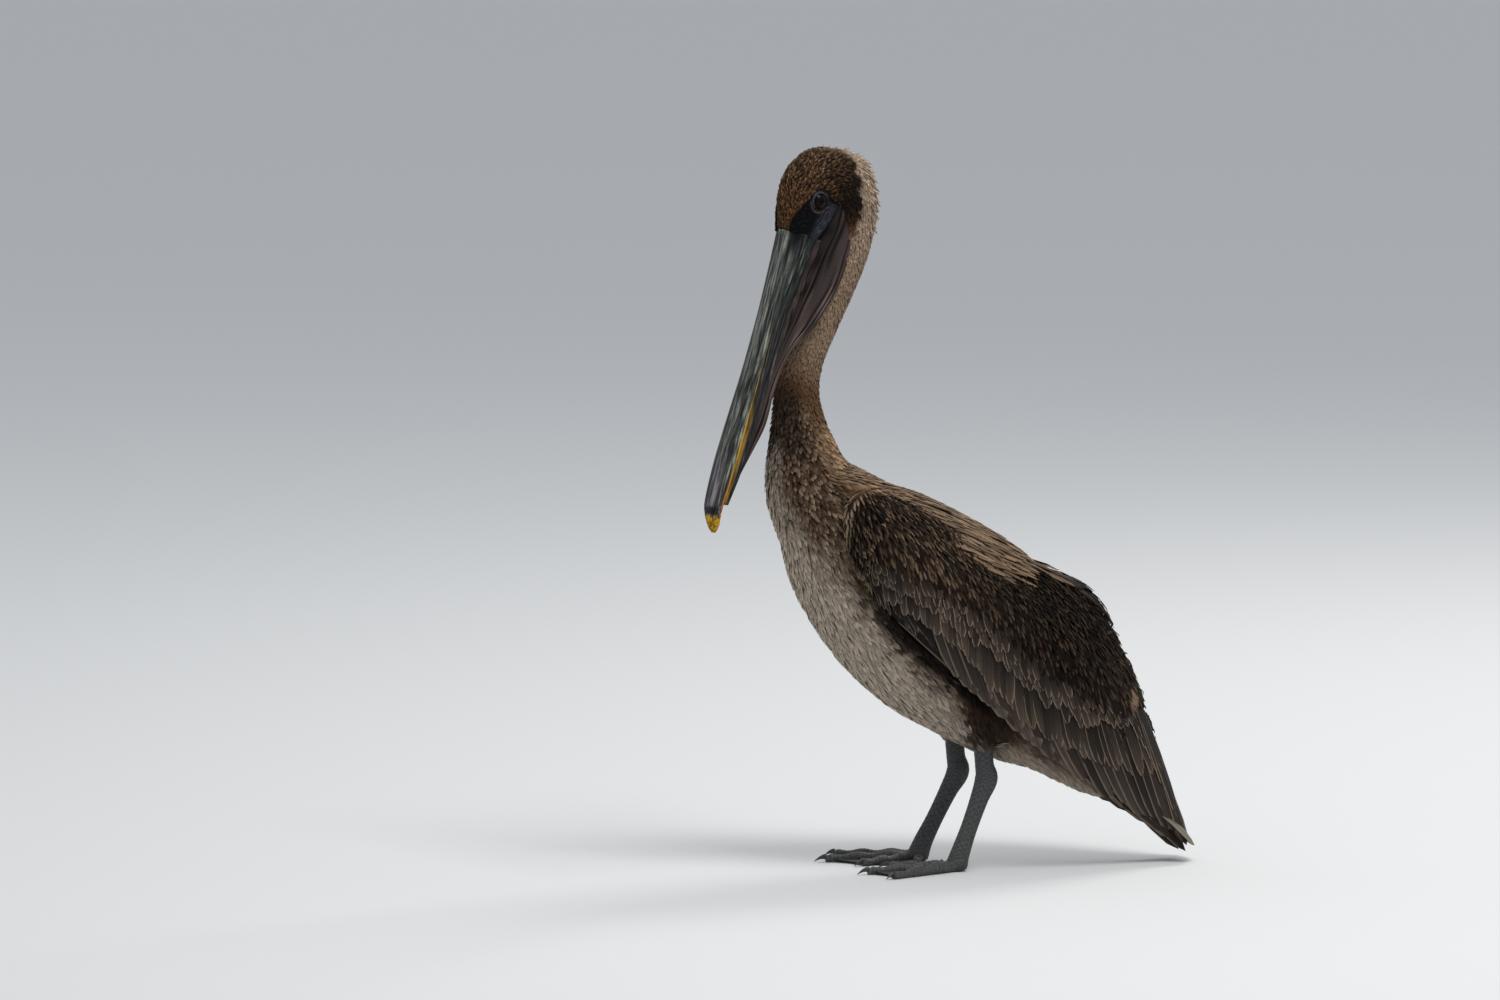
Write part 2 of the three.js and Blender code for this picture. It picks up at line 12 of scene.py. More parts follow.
import bpy
import numpy as np
from mathutils import Matrix, Vector
from mathutils.bvhtree import BVHTree
from mathutils.kdtree import KDTree
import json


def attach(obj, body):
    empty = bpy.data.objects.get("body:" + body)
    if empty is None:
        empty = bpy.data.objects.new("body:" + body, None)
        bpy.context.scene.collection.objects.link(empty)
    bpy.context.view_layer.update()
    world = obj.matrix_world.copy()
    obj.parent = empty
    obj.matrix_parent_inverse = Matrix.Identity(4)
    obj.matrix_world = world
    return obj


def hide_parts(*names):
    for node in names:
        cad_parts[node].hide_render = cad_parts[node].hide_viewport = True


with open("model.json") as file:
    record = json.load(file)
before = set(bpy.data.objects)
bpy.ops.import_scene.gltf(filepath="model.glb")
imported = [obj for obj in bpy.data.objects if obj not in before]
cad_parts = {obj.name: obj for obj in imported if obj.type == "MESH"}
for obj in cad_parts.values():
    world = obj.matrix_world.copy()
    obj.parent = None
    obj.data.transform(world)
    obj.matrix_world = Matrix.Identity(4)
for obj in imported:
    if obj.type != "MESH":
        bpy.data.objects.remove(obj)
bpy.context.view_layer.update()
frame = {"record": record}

MM, TURN = 0.001, 2 * math.pi  # a millimetre in metres, and a full turn in radians

# %% [markdown]
# ## The plan of the bird
# The body is planned as ribs: points along a bent spine, each with how far the body reaches towards the
# back, the belly and the sides. The same stations made the solids, so anything built from them fits. A
# curve runs through every kind of station, and the Catmull-Rom form is used because it passes exactly
# through its points.

# %% Stations of the trunk and neck, to the tips of the coat
# Each rib: x, y, z of its middle, then its reach to the back, to the belly and to each side.
RIBS = [
    (-240, 0, 77, 12, 14, 13), (-225, 0, 93, 31, 38, 30), (-196, 0, 122, 54, 56, 44),
    (-164, 0, 155, 76, 73, 58), (-115, 0, 192, 95, 91, 71), (-68, 0, 234, 101, 107, 80),
    (-17, 0, 275, 96, 106, 82), (29, 0, 321, 78, 94, 76), (61, 0, 358, 54, 76, 62),
    (87, 0, 389, 41, 56, 47), (100, 0, 428, 33, 38, 34), (105, 0, 455, 28, 28, 27),
    (106, 0, 480, 24.5, 24.5, 24), (101, 0, 510, 23, 23, 22.5), (87, 0, 545, 23, 23, 22),
    (72, 0, 580, 24, 24, 22.5), (58, 1, 618, 25.5, 25.5, 24), (52, 4, 652, 27, 27, 26),
    (54, 8, 682, 28, 27, 27), (58, 11, 704, 23, 22, 22), (61, 13, 718, 8, 8, 8),
]
NECK_STARTS = 10 / (len(RIBS) - 1)  # share of the spine where the trunk gives way to the neck

# %% Stations of the head, along the bill's own axis, and of the bill and pouch
HEAD_AT = np.array([132, 48, 652.0])  # where the culmen leaves the forehead feathers
HEAD_YAW = math.radians(33)  # turned to the bird's left
BILL_DROP = math.radians(71.5)  # below level
EYE_AT = np.array([-31.5, 20.5, -21.0])
EYE_RADIUS = 9.5
# Skull: x, top, bottom, half width.
SKULL = [
    (4, -1, -46, 20), (-10, 3, -54, 23), (-25, 6, -60, 26), (-42, 6, -66, 29), (-57, 1, -69, 31),
    (-70, -8, -70, 30), (-82, -21, -68, 25), (-88.5, -34, -63, 16), (-91, -43, -55, 6),
]
# Bill: x, half width, culmen, edge of the upper jaw, under edge of the lower jaw.
BILL = [
    (4.4, 20, -0.5, -21, -45), (25, 18.5, -1.5, -18.5, -42), (50, 16.5, -1.9, -15.5, -39.5),
    (85, 13.5, 0, -12, -34), (117, 12.5, 1.7, -9.3, -30.5), (151, 12.7, 3.4, -7, -26),
    (190, 14, 6, -4, -20), (224, 15, 8.6, -1.5, -16), (255, 15, 10.3, 0.5, -11.5),
    (286, 13, 11.3, 2, -6.5),
]
NAIL = [(298, 10.5, 10.2, 0), (306, 8, 6.8, -3.2), (312, 5, 2, -5), (315, 2, -2.2, -5.6)]
# Pouch: x, top, keel, half width at the top and at the keel.
POUCH = [
    (-40, -56, -84, 20, 15), (-10, -50, -90, 25, 21), (20, -42, -90, 24, 21), (50, -39, -85, 20, 18),
    (85, -34, -73, 16, 12), (108, -31, -57, 12.5, 8), (130, -28.5, -46, 11, 5.5),
    (160, -24, -42, 11, 4.5), (195, -19, -41, 12, 4.5), (225, -15.5, -31, 12.5, 4.5),
    (250, -12, -21, 11.5, 4.5), (275, -8, -12.5, 9, 4),
]

# %% Stations of the folded wing, the tail, the legs and the toes
# Wing: its edge over the back, its edge along the flank, its swell between them and its thickness.
WING = [
    ((52, 60, 394), (72, 68, 378), 3, 7), ((34, 55, 390), (70, 74, 330), 13, 14),
    ((-20, 48, 362), (40, 80, 274), 24, 20), ((-78, 42, 329), (-8, 84, 225), 30, 24),
    ((-148, 31, 304), (-69, 82, 183), 33, 26), ((-188, 22, 283), (-127, 74, 136), 34, 27),
    ((-217, 15, 240), (-181, 60, 93), 29, 25), ((-245, 10, 180), (-226, 42, 64), 20, 18),
    ((-271, 8, 112), (-262, 27, 38), 11, 10), ((-295, 8, 34), (-294, 12, 18), 2, 4),
]
# Tail: x and z of its middle line.
TAIL = [(-178, 112), (-220, 86), (-258, 58), (-284, 34), (-303, 11)]
# Legs: side, ankle, where the toes meet.
LEGS = {
    "left": (1, np.array([-80, 38, 91.0]), np.array([-50, 44, 12.0])),
    "right": (-1, np.array([-68, -38, 90.0]), np.array([-30, -44, 12.0])),
}
# Toes of a left foot: aim in degrees, length, radius at the root and at the end, length of the claw.
TOES = [(-72, 33, 4.6, 3.4, 8), (-25, 72, 5.6, 3.8, 10), (6, 95, 6.2, 3.9, 11), (33, 92, 6.4, 3.8, 10)]
FEATHERS_END = 126  # height where the leg feathers stop
TARSUS = (8.5, 6)  # half its size fore and aft, and across


# %% Curves through stations
def unit(v):
    return v / np.maximum(np.linalg.norm(v, axis=-1, keepdims=True), 1e-9)


def curve(stations):
    """A function of 0 to 1 that runs through every station by the uniform Catmull-Rom rule."""
    p = np.asarray(stations, float)
    p = np.vstack([2 * p[0] - p[1], p, 2 * p[-1] - p[-2]])
    last = len(p) - 4

    def at(t):
        t = np.clip(np.asarray(t, float), 0, 1) * (last + 1)
        i = np.minimum(t.astype(int), last)
        w = (t - i)[..., None]
        a, b, c, d = p[i], p[i + 1], p[i + 2], p[i + 3]
        leave, reach = (c - a) / 2, (d - b) / 2
        bend = w**2 * (3 * (c - b) - 2 * leave - reach) + w**3 * (2 * (b - c) + leave + reach)
        return b + w * leave + bend

    return at


def along(path, t, step=1e-4):
    """The unit direction of a curve."""
    return unit(path(np.clip(t + step, 0, 1)) - path(np.clip(t - step, 0, 1)))


def smooth(a, b, v):
    """Rises smoothly from 0 at a to 1 at b."""
    t = np.clip((v - a) / (b - a), 0, 1)
    return t * t * (3 - 2 * t)


def mix(a, b, share):
    """Points or colours mixed, or plain numbers where a and b are plain."""
    share = np.asarray(share, float)
    if share.ndim and max(np.ndim(a), np.ndim(b)):
        share = share[..., None]
    return a + (b - a) * share


def layered(colour, *layers):
    """A colour with others laid over it in turn, each by its own share."""
    for over, share in layers:
        colour = mix(colour, over, share)
    return colour


def near(middle, width, v):
    """1 at the middle, dying away over the width on either side."""
    return np.exp(-(((v - middle) / width) ** 2))


spine = curve([r[:3] for r in RIBS])
reach = curve([r[3:] for r in RIBS])
UP, LEFT = np.array([0, 0, 1.0]), np.array([0, 1.0, 0])


def rib_frame(at):
    """Middle of the body at a share of the spine, and the ways ahead, to the back and to the left."""
    ahead = along(spine, at)
    back = unit(np.cross(ahead, LEFT))
    return spine(at), ahead, back, np.cross(back, ahead)


def body_point(at, angle, grow=0.0):
    """A point of the coat's outline: angle 0 is the back, a quarter turn the left side."""
    middle, _, back, left = rib_frame(at)
    size = reach(at)
    up = np.cos(angle)
    rise = up * (np.where(up > 0, size[..., 0], size[..., 1]) + grow)
    side = np.sin(angle) * (size[..., 2] + grow)
    return middle + back * rise[..., None] + left * side[..., None]


# %% The head's own frame
def turn_z(a):
    return np.array([[math.cos(a), -math.sin(a), 0], [math.sin(a), math.cos(a), 0], [0, 0, 1]])


def turn_y(a):
    return np.array([[math.cos(a), 0, math.sin(a)], [0, 1, 0], [-math.sin(a), 0, math.cos(a)]])


HEAD_TURN = turn_z(HEAD_YAW) @ turn_y(BILL_DROP)


def from_head(p):
    return HEAD_AT + p @ HEAD_TURN.T


def to_head(p):
    return (p - HEAD_AT) @ HEAD_TURN


skull_form = curve(SKULL)


def skull_point(at, angle, grow=0.0):
    """A point of the head's outline, in the head's frame: angle 0 is the crown."""
    x, top, bottom, side = np.moveaxis(skull_form(at), -1, 0)
    half = (top - bottom) / 2 + grow
    return np.stack([x, (side + grow) * np.sin(angle), (top + bottom) / 2 + half * np.cos(angle)], -1)


# The solids were moved so that their box stands on the origin. The left sole's mount shows how far.
SOLE = np.array(frame["record"]["mounts"][0]["pos_m"]) / MM
OFFSET = SOLE - (LEGS["left"][2] + [1, 0, -LEGS["left"][2][2]])
print("the bird's frame lies at", OFFSET.round(2), "mm from the row's")


# %% [markdown]
# ## Meshes from arrays
# Every surface here is a net of points: rows across a form, joined by faces. NumPy makes thousands of
# points in one go, and `foreach_set` hands them to Blender without a Python loop. A closed form also gets a
# fan over each end. A colour for each point can be stored with the mesh for a material to read.


# %% Nets, fans and mesh objects
def net(rows, cols, wrap):
    """Triangles of a net of points. wrap joins its last column to its first."""
    r = np.arange(rows - 1)[:, None] * cols
    c = np.arange(cols if wrap else cols - 1)[None, :]
    n = (c + 1) % cols
    a, b, d, e = (r + c).ravel(), (r + n).ravel(), (r + cols + n).ravel(), (r + cols + c).ravel()
    return np.concatenate([np.stack([a, b, d], -1), np.stack([a, d, e], -1)])


def closed(rings):
    """Points and triangles of a closed form through rings, shaped (rings, points of a ring, 3)."""
    rows, cols = rings.shape[:2]
    points = rings.reshape(-1, 3)
    faces = [net(rows, cols, True)]
    ends = []
    c = np.arange(cols)
    for k, (start, step) in enumerate(((0, 1), ((rows - 1) * cols, -1))):
        middle = np.full(cols, len(points) + k)
        edge = [start + c, start + (c + 1) % cols][::-step]
        faces.append(np.stack([middle, *edge], -1))
        ends.append(points[start : start + cols].mean(0))
    points = np.vstack([points, ends])
    faces = np.concatenate(faces)
    a, b, d = (points[faces[:, k]] for k in range(3))
    if np.einsum("ij,ij->i", a, np.cross(b, d)).sum() < 0:
        faces = faces[:, ::-1]
    return points, faces


MIRROR = np.array([1, -1, 1])


def both_sides(left, flip=MIRROR, shared=0):
    """Rings from their left half and its mirror image, which leaves out the shared points at the start."""
    return np.concatenate([left, left[:, shared:][:, ::-1] * flip], 1)


def on_side(points, faces, side):
    """A form made for the left side, or with side -1 its mirror image on the right."""
    return points * (1, side, 1), faces if side > 0 else faces[:, ::-1]


def joined(parts):
    """Several (points, faces) as one."""
    points, faces, start = [], [], 0
    for p, f in parts:
        points.append(p)
        faces.append(f + start)
        start += len(p)
    return np.vstack(points), np.concatenate(faces)


def mesh_object(name, points, faces, colours=None, rounded=True):
    """A mesh object in metres in the row's frame. colours is {attribute: (n, 3) array}, one for a point."""
    mesh = bpy.data.meshes.new(name)
    mesh.vertices.add(len(points))
    mesh.vertices.foreach_set("co", ((points + OFFSET) * MM).astype(np.float32).ravel())
    mesh.loops.add(faces.size)
    mesh.loops.foreach_set("vertex_index", faces.astype(np.int32).ravel())
    mesh.polygons.add(len(faces))
    mesh.polygons.foreach_set("loop_start", np.arange(len(faces), dtype=np.int32) * faces.shape[1])
    mesh.update(calc_edges=True)
    mesh.polygons.foreach_set("use_smooth", np.full(len(faces), rounded))
    for key, value in (colours or {}).items():
        held = mesh.color_attributes.new(key, "FLOAT_COLOR", "POINT")
        rgba = np.ones((len(points), 4), np.float32)
        rgba[:, :3] = value
        held.data.foreach_set("color", rgba.ravel())
    made = bpy.data.objects.new(name, mesh)
    bpy.context.scene.collection.objects.link(made)
    return made


def store_vectors(made, name, vectors):
    """Keeps a vector for each point of a piece, for its material to read."""
    held = made.data.attributes.new(name, "FLOAT_VECTOR", "POINT")
    held.data.foreach_set("vector", vectors.astype(np.float32).ravel())


def dress(made, slot, replaced, *materials):
    """Gives a piece its finishes and its place on the body, and hides the solids that it stands for."""
    for material in materials:
        made.data.materials.append(material)
    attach(made, "root")
    if replaced:
        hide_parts(*replaced)
    print(made.name, len(made.data.polygons), "faces")
    return made


# %% [markdown]
# ## Noise without a texture
# Feathers and skin need unevenness that is the same on every run. A few sine waves in seeded directions
# make a smooth noise that NumPy can read at any point, so the same marking can colour the skin and every
# feather on it.


# %% A smooth noise of place
def waves(seed, size, count=7):
    """A function of (n, 3) points, from about -1 to 1, with features of about that size in millimetres."""
    rng = np.random.default_rng(seed)
    ways = unit(rng.normal(size=(count, 3))) * TURN / (size * rng.uniform(0.7, 1.7, (count, 1)))
    shifts = rng.uniform(0, TURN, count)

    def at(p):
        return np.sin(p @ ways.T + shifts).sum(-1) / math.sqrt(count)

    return at


mottle = waves(3, 26)
fleck = waves(4, 7)


# %% [markdown]
# ## Finishes as expressions
# A material is a net of nodes, but a sum such as `1 - mask * 0.3` is easier to read than four boxes. The
# class below wraps a node's output so that Python's own operators add Math nodes. Colours go through Mix
# nodes, because a Math node would turn them grey. What varies over a surface feeds colour, roughness and
# bump; a number that is the same all over is set on the shader itself.


# %% A socket that can be used in sums
def linear(red, green, blue):
    """A display colour of 0 to 255 as the linear light that shaders work in."""
    v = np.array([red, green, blue]) / 255
    return np.where(v <= 0.04045, v / 12.92, ((v + 0.055) / 1.055) ** 2.4)


class Wire:
    """A node's output, with the sums that a material needs."""

    def __init__(self, paint, socket):
        self.paint, self.socket = paint, socket

    def maths(self, how, a, b):
        return self.paint.node("ShaderNodeMath", {"operation": how}, {0: a, 1: b})

    def __add__(self, other):
        return self.maths("ADD", self, other)

    def __sub__(self, other):
        return self.maths("SUBTRACT", self, other)

    def __rsub__(self, other):
        return self.maths("SUBTRACT", other, self)

    def __mul__(self, other):
        return self.maths("MULTIPLY", self, other)

    __radd__, __rmul__ = __add__, __mul__


class Paint:
    """One material while it is being made."""

    def __init__(self, name, **fixed):
        self.material = bpy.data.materials.new(name)
        self.material.use_nodes = True
        self.tree = self.material.node_tree
        self.shader = self.tree.nodes["Principled BSDF"]
        for key, value in fixed.items():
            self.shader.inputs[key.replace("_", " ")].default_value = value

    def node(self, kind, settings, inputs, outlet=0):
        made = self.tree.nodes.new(kind)
        for key, value in settings.items():
            setattr(made, key, value)
        for key, value in inputs.items():
            if isinstance(value, Wire):
                self.tree.links.new(value.socket, made.inputs[key])
            else:
                made.inputs[key].default_value = value
        return Wire(self, made.outputs[outlet])

    def mixed(self, share, a, b, how="MIX"):
        """Two colours mixed. A plain colour is given as three numbers."""
        full = [c if isinstance(c, Wire) else (*c, 1.0) for c in (a, b)]
        settings = {"data_type": "RGBA", "blend_type": how}
        return self.node("ShaderNodeMix", settings, {0: share, 6: full[0], 7: full[1]}, 2)

    def shaded(self, colour, share, low, high):
        """A colour times a grey that runs from low to high as share goes from 0 to 1."""
        return self.mixed(1.0, colour, self.mixed(share, (low,) * 3, (high,) * 3), "MULTIPLY")

    def stored(self, name, outlet="Color"):
        return self.node("ShaderNodeAttribute", {"attribute_name": name}, {}, outlet)

    def noise(self, where, size, detail=3.0):
        inputs = {"Vector": where, "Scale": size, "Detail": detail}
        return self.node("ShaderNodeTexNoise", {}, inputs, 0)

    def stretched(self, where, scale):
        return self.node("ShaderNodeVectorMath", {"operation": "MULTIPLY"}, {0: where, 1: scale}, 0)

    def place(self):
        return self.node("ShaderNodeTexCoord", {}, {}, "Object")

    def ramp(self, value, low, high, out_low=0.0, out_high=1.0):
        inputs = {0: value, 1: low, 2: high, 3: out_low, 4: out_high}
        return self.node("ShaderNodeMapRange", {"interpolation_type": "SMOOTHSTEP"}, inputs)

    def feed(self, **wires):
        for key, wire in wires.items():
            self.tree.links.new(wire.socket, self.shader.inputs[key.replace("_", " ")])

    def bumpy(self, height, distance, strength=1.0):
        inputs = {"Height": height, "Distance": distance, "Strength": strength}
        self.feed(Normal=self.node("ShaderNodeBump", {}, inputs))


# %% [markdown]
# ## Camera, floor and light
# The camera looks at the bird's left side from slightly ahead and above, through a long lens that keeps
# parallel lines parallel. It is placed by the two directions that span its picture, so that a millimetre on
# the bird is a pixel of a picture 1500 wide. The floor is a large plain sheet, and two soft lamps over a
# bright sky keep the shadows open.

# %% Camera
VIEW_TURN, VIEW_RISE = math.radians(12), math.radians(6)  # round from the bird's left, and above level
LENS, SENSOR, PICTURE_WIDTH = 400.0, 36.0, 1500
VIEW_BASE = np.array([-60, 40, 0.0])  # a point between the feet
MIDDLE_RIGHT, MIDDLE_UP = -150.0, 370.0  # the picture's middle: right of the origin, and up from VIEW_BASE
SIGHT_END = 100  # metres
level = math.cos(VIEW_RISE)
to_camera = np.array([math.sin(VIEW_TURN) * level, math.cos(VIEW_TURN) * level, math.sin(VIEW_RISE)])
right_way = np.array([-math.cos(VIEW_TURN), math.sin(VIEW_TURN), 0])
up_way = np.cross(to_camera, right_way)
aim = VIEW_BASE + right_way * (MIDDLE_RIGHT - right_way @ VIEW_BASE) + up_way * MIDDLE_UP
distance = LENS / SENSOR * PICTURE_WIDTH

camera = bpy.data.objects.new("camera", bpy.data.cameras.new("camera"))
camera.data.lens, camera.data.sensor_width, camera.data.clip_end = LENS, SENSOR, SIGHT_END
stands_at = Vector((aim + to_camera * distance + OFFSET) * MM)
facing = Matrix(np.stack([right_way, up_way, to_camera], 1).tolist()).to_4x4()
camera.matrix_world = Matrix.Translation(stands_at) @ facing
bpy.context.scene.collection.objects.link(camera)
bpy.context.scene.camera = camera
print("the camera stands", round(camera.location.z, 2), "m above the floor")

# %% Floor, sky and lamps
SKY, SKY_STRENGTH = (0.84, 0.86, 0.89), 0.72
FLOOR_TONE, FLOOR_SIZE, FLOOR_DROP = (0.60, 0.62, 0.64), 400, 0.0005  # metres; it lies just below the soles
LAMPS_AIM = Vector((0, 0, 0.4))
bpy.context.scene.view_settings.view_transform = "Standard"
world = bpy.data.worlds.new("sky")
world.use_nodes = True
world.node_tree.nodes["Background"].inputs["Color"].default_value = (*SKY, 1)
world.node_tree.nodes["Background"].inputs["Strength"].default_value = SKY_STRENGTH
bpy.context.scene.world = world

floor_paint = Paint("floor_pale", Roughness=0.9, Specular_IOR_Level=0.2)
floor_paint.shader.inputs["Base Color"].default_value = (*FLOOR_TONE, 1)
bpy.ops.mesh.primitive_plane_add(size=FLOOR_SIZE, location=(0, 0, -FLOOR_DROP))
floor = bpy.context.object
floor.name = "floor"
floor.data.materials.append(floor_paint.material)


def lamp(name, place, power, size, tone):
    """A square lamp in metres and watts that faces the bird."""
    made = bpy.data.objects.new(name, bpy.data.lights.new(name, "AREA"))
    made.data.energy, made.data.size, made.data.color = power, size, tone
    made.location = place
    made.rotation_euler = (LAMPS_AIM - made.location).to_track_quat("-Z", "Y").to_euler()
    bpy.context.scene.collection.objects.link(made)


lamp("lamp_high", place=(-0.6, 1.6, 3.4), power=84, size=1.5, tone=(1.0, 0.96, 0.90))
lamp("lamp_behind", place=(-2.0, -1.8, 2.6), power=52, size=1.3, tone=(1.0, 0.95, 0.88))

# %% [markdown]
# ## One skin for the whole bird
# A real bird's feathers grow from one skin, so no seam may show where the solids of the model meet. Closed
# forms for the trunk, neck, skull, thighs and wing arms are made from the plan, set in by the depth of the
# coat, and a voxel remesh melts them into one surface. Sculpting by hand could do the same, but a remesh of
# planned forms stays exact and can be run again.

# %% Markings of the plumage
PALE = linear(168, 155, 140)
CHEST = linear(64, 48, 36)
NECK = linear(130, 110, 92)
NAPE = linear(148, 129, 112)
THROAT = linear(40, 31, 25)
MANTLE = linear(134, 109, 84)
CROWN = linear(52, 39, 30)
RUST = linear(98, 68, 44)
CROWN_DARK = linear(22, 17, 13)
UNDERTAIL = linear(122, 103, 85)
FLANK = linear(46, 34, 26)
WING_SHADOW = linear(14, 11, 9)
WING_DARK = linear(32, 24, 19)
COAT_SHADE = 0.62  # how dark the skin is beside the feathers over it: painted shade in the gaps between them, with their darker bases

# Seen from the side, x and z: the pale underparts begin below this line, and brown feathers edge the wing.
PALE_LINE = np.array([
    (160, 440), (139, 405), (122, 368), (100, 338), (65, 300), (35, 256), (-11, 210), (-50, 172), (-58, 105),
], float)

# Above this line, x and z, lie the feathers of the mantle and shoulders.
SHOULDER_LINE = np.array([
    (80, 392), (57, 392), (33, 388), (5, 376), (-29, 356), (-92, 320), (-131, 299), (-161, 285),
    (-187, 270), (-240, 268),
], float)

wing_top, wing_low = curve([w[0] for w in WING]), curve([w[1] for w in WING])
wing_size = curve([(w[2], w[3]) for w in WING])
wing_edge_low = wing_low(np.linspace(0, 1, 60))[:, [0, 2]]

spine_shares = np.linspace(0, 1, 400)
spine_points = spine(spine_shares)


def nearest_share(p):
    """The share of the spine nearest each point."""
    found = np.empty(len(p))
    for k in range(0, len(p), 4000):
        apart = ((p[k : k + 4000, None] - spine_points[None]) ** 2).sum(-1)
        found[k : k + 4000] = spine_shares[apart.argmin(1)]
    return found


def body_angle(p, at):
    """The angle of each point round the spine, 0 at the back and positive to the left."""
    middle, _, back, left = rib_frame(at)
    away = p - middle
    return np.arctan2((away * left).sum(-1), (away * back).sum(-1))


def below(line, p):
    """How far points lie below a line of x and z, seen from the side."""
    ordered = line[np.argsort(line[:, 0])]
    return np.interp(p[:, 0], ordered[:, 0], ordered[:, 1]) - p[:, 2]


def pale_share(p, at, angle):
    """How far the pale of the underparts has taken over."""
    side = smooth(1.0, 1.8, np.abs(angle)) * smooth(0.63, 0.58, at)
    line = smooth(-16, 30, below(PALE_LINE, p) * 0.7 + 4 * mottle(p) + 3 * fleck(p))
    return line * side * smooth(-58, -46, p[:, 0] + 4 * mottle(p))


def throat_share(at, angle):
    """How far the black-brown at the root of the neck has taken over."""
    return smooth(1.3, 1.9, np.abs(angle)) * smooth(0.65, 0.58, at) * smooth(0.475, 0.53, at)


def body_colour(p, at, angle):
    """The plumage's colour at points of the trunk and neck."""
    x, y, z = p.T
    off_back = np.abs(angle)
    waver, dots = mottle(p), fleck(p)
    side = smooth(1.0, 1.8, off_back)
    flank = side * smooth(0.5, 0.46, at) * smooth(14, 26, np.abs(y))
    neck_root = smooth(0.8, 1.6, off_back) * smooth(0.67, 0.59, at)
    keel = smooth(2.3, 2.85, off_back) * smooth(0.53, 0.49, at + 0.012 * waver)
    back = smooth(1.4, 0.8, off_back) * smooth(0.56, 0.50, at)
    thigh = smooth(-46, -60, x + 6 * waver) * smooth(-112, -88, x + 8 * dots)
    under_wing = below(wing_edge_low, p)
    strip = smooth(26, 9, under_wing + 3 * waver + 4 * dots) * smooth(-190, -110, x) * smooth(88, 70, x)
    gap = smooth(13, 5, under_wing) * smooth(-110, -60, x) * smooth(70, 40, x)
    colour = layered(
        mix(NECK, NAPE, smooth(0.75, 0.92, at)),
        (NECK * (0.42, 0.33, 0.24), smooth(0.70, 0.60, at)),  # the neck darkens on its way down
        (NECK * (0.26, 0.20, 0.15), neck_root * 0.85),
        (CHEST, smooth(0.59, 0.54, at + 0.012 * waver) * side),
        (THROAT * 0.6, throat_share(at, angle) * 0.92),
        (PALE * 0.72, keel * 0.85),
        (PALE, pale_share(p, at, angle)),
        (mix(WING_DARK * 1.1, MANTLE, smooth(-140, -100, x)), back),
        (mix(UNDERTAIL * 0.75, PALE * 0.85, smooth(2.2, 2.9, off_back)), smooth(-84, -104, x) * side),
        (FLANK, thigh * smooth(128, 152, z + 5 * dots) * flank * 0.9),  # behind the leg
        (FLANK, strip * flank * 0.75),  # brown feathers along the wing's lower edge
        (WING_SHADOW, gap * flank * 0.9),  # between wing and belly
    )
    return colour * (1 + 0.07 * dots[:, None])


# %% The colour of the head's feathers
# In the head's frame, x and z: the crown's dark cap ends at this line and the pale nape begins.
NAPE_LINE = np.array([
    (-90, -36), (-84, -44), (-78, -56), (-70, -62), (-58, -67), (-48, -71), (-37, -75), (-24, -77), (0, -80),
], float)


def head_mottle(h):
    return mottle(h * 2.4)  # finer than on the body


def cap_share(h):
    """How far the dark rear of the cap has taken over."""
    return smooth(-14, -36, h[:, 2] + 5 * head_mottle(h)) * smooth(-8, -40, h[:, 0])


def head_colour(h):
    """The colour of the head's feathers, from their place in the head's frame."""
    noise = head_mottle(h)
    return layered(
        mix(CROWN, RUST, smooth(-55, -10, h[:, 0] + 5 * noise) * 0.75),  # redder towards the bill
        (CROWN_DARK, cap_share(h) * 0.85),
        (NAPE * 0.8, smooth(-77, -86, h[:, 0] + 2 * noise) * 0.45),
        (NAPE, smooth(-3, 2, below(NAPE_LINE, h) + 2 * noise)),
    )


def coat_colour(p, at, angle):
    """The body's markings, with the head's where the neck meets it."""
    return mix(body_colour(p, at, angle), head_colour(to_head(p)), smooth(0.80, 0.86, at))


# %% Forms of the flesh, set in by the depth of the coat
def coat_depth(at):
    return np.interp(at, [0, 0.08, NECK_STARTS - 0.06, NECK_STARTS + 0.1, 1], [3, 6.5, 6, 4, 3.5])


def round_angles(count):
    return np.linspace(0, TURN, count, endpoint=False)


def body_form():
    at, angle = np.meshgrid(np.linspace(0, 1, 110), round_angles(64), indexing="ij")
    return closed(body_point(at, angle, -coat_depth(at)))


SKULL_DEPTH = 3.0  # of the short feathers on the head


def skull_form_inside():
    at, angle = np.meshgrid(np.linspace(0, 1, 40), round_angles(64), indexing="ij")
    rings = skull_point(at, angle, -SKULL_DEPTH)
    rings[..., 0] += SKULL_DEPTH * smooth(0.75, 1, at)
    return closed(from_head(rings))


def limb(stations, rows, sides, grow=0.0):
    """Oval rings along a limb: each station is x, y, z, half depth fore and aft, half width."""
    middle, size = curve([s[:3] for s in stations]), curve([s[3:] for s in stations])
    t = np.linspace(0, 1, rows)
    ahead = along(middle, t)
    fore = unit(np.cross(LEFT, ahead))
    across = np.cross(ahead, fore)
    angle = round_angles(sides)
    depth, width = (size(t)[:, k] + grow for k in (0, 1))
    swing = fore[:, None] * (depth[:, None] * np.cos(angle))[..., None]
    return middle(t)[:, None] + swing + across[:, None] * (width[:, None] * np.sin(angle))[..., None]


def thigh_stations(side, ankle):
    rows = [(54, 50, 222, 32, 26), (32, 47, 186, 30, 24), (15, 43, 158, 23, 19), (6, 40, 137, 15.5, 13.5),
            (4, 39, 122, 11.5, 10)]
    return [(ankle[0] + x, side * y, z, depth, width) for x, y, z, depth, width in rows]


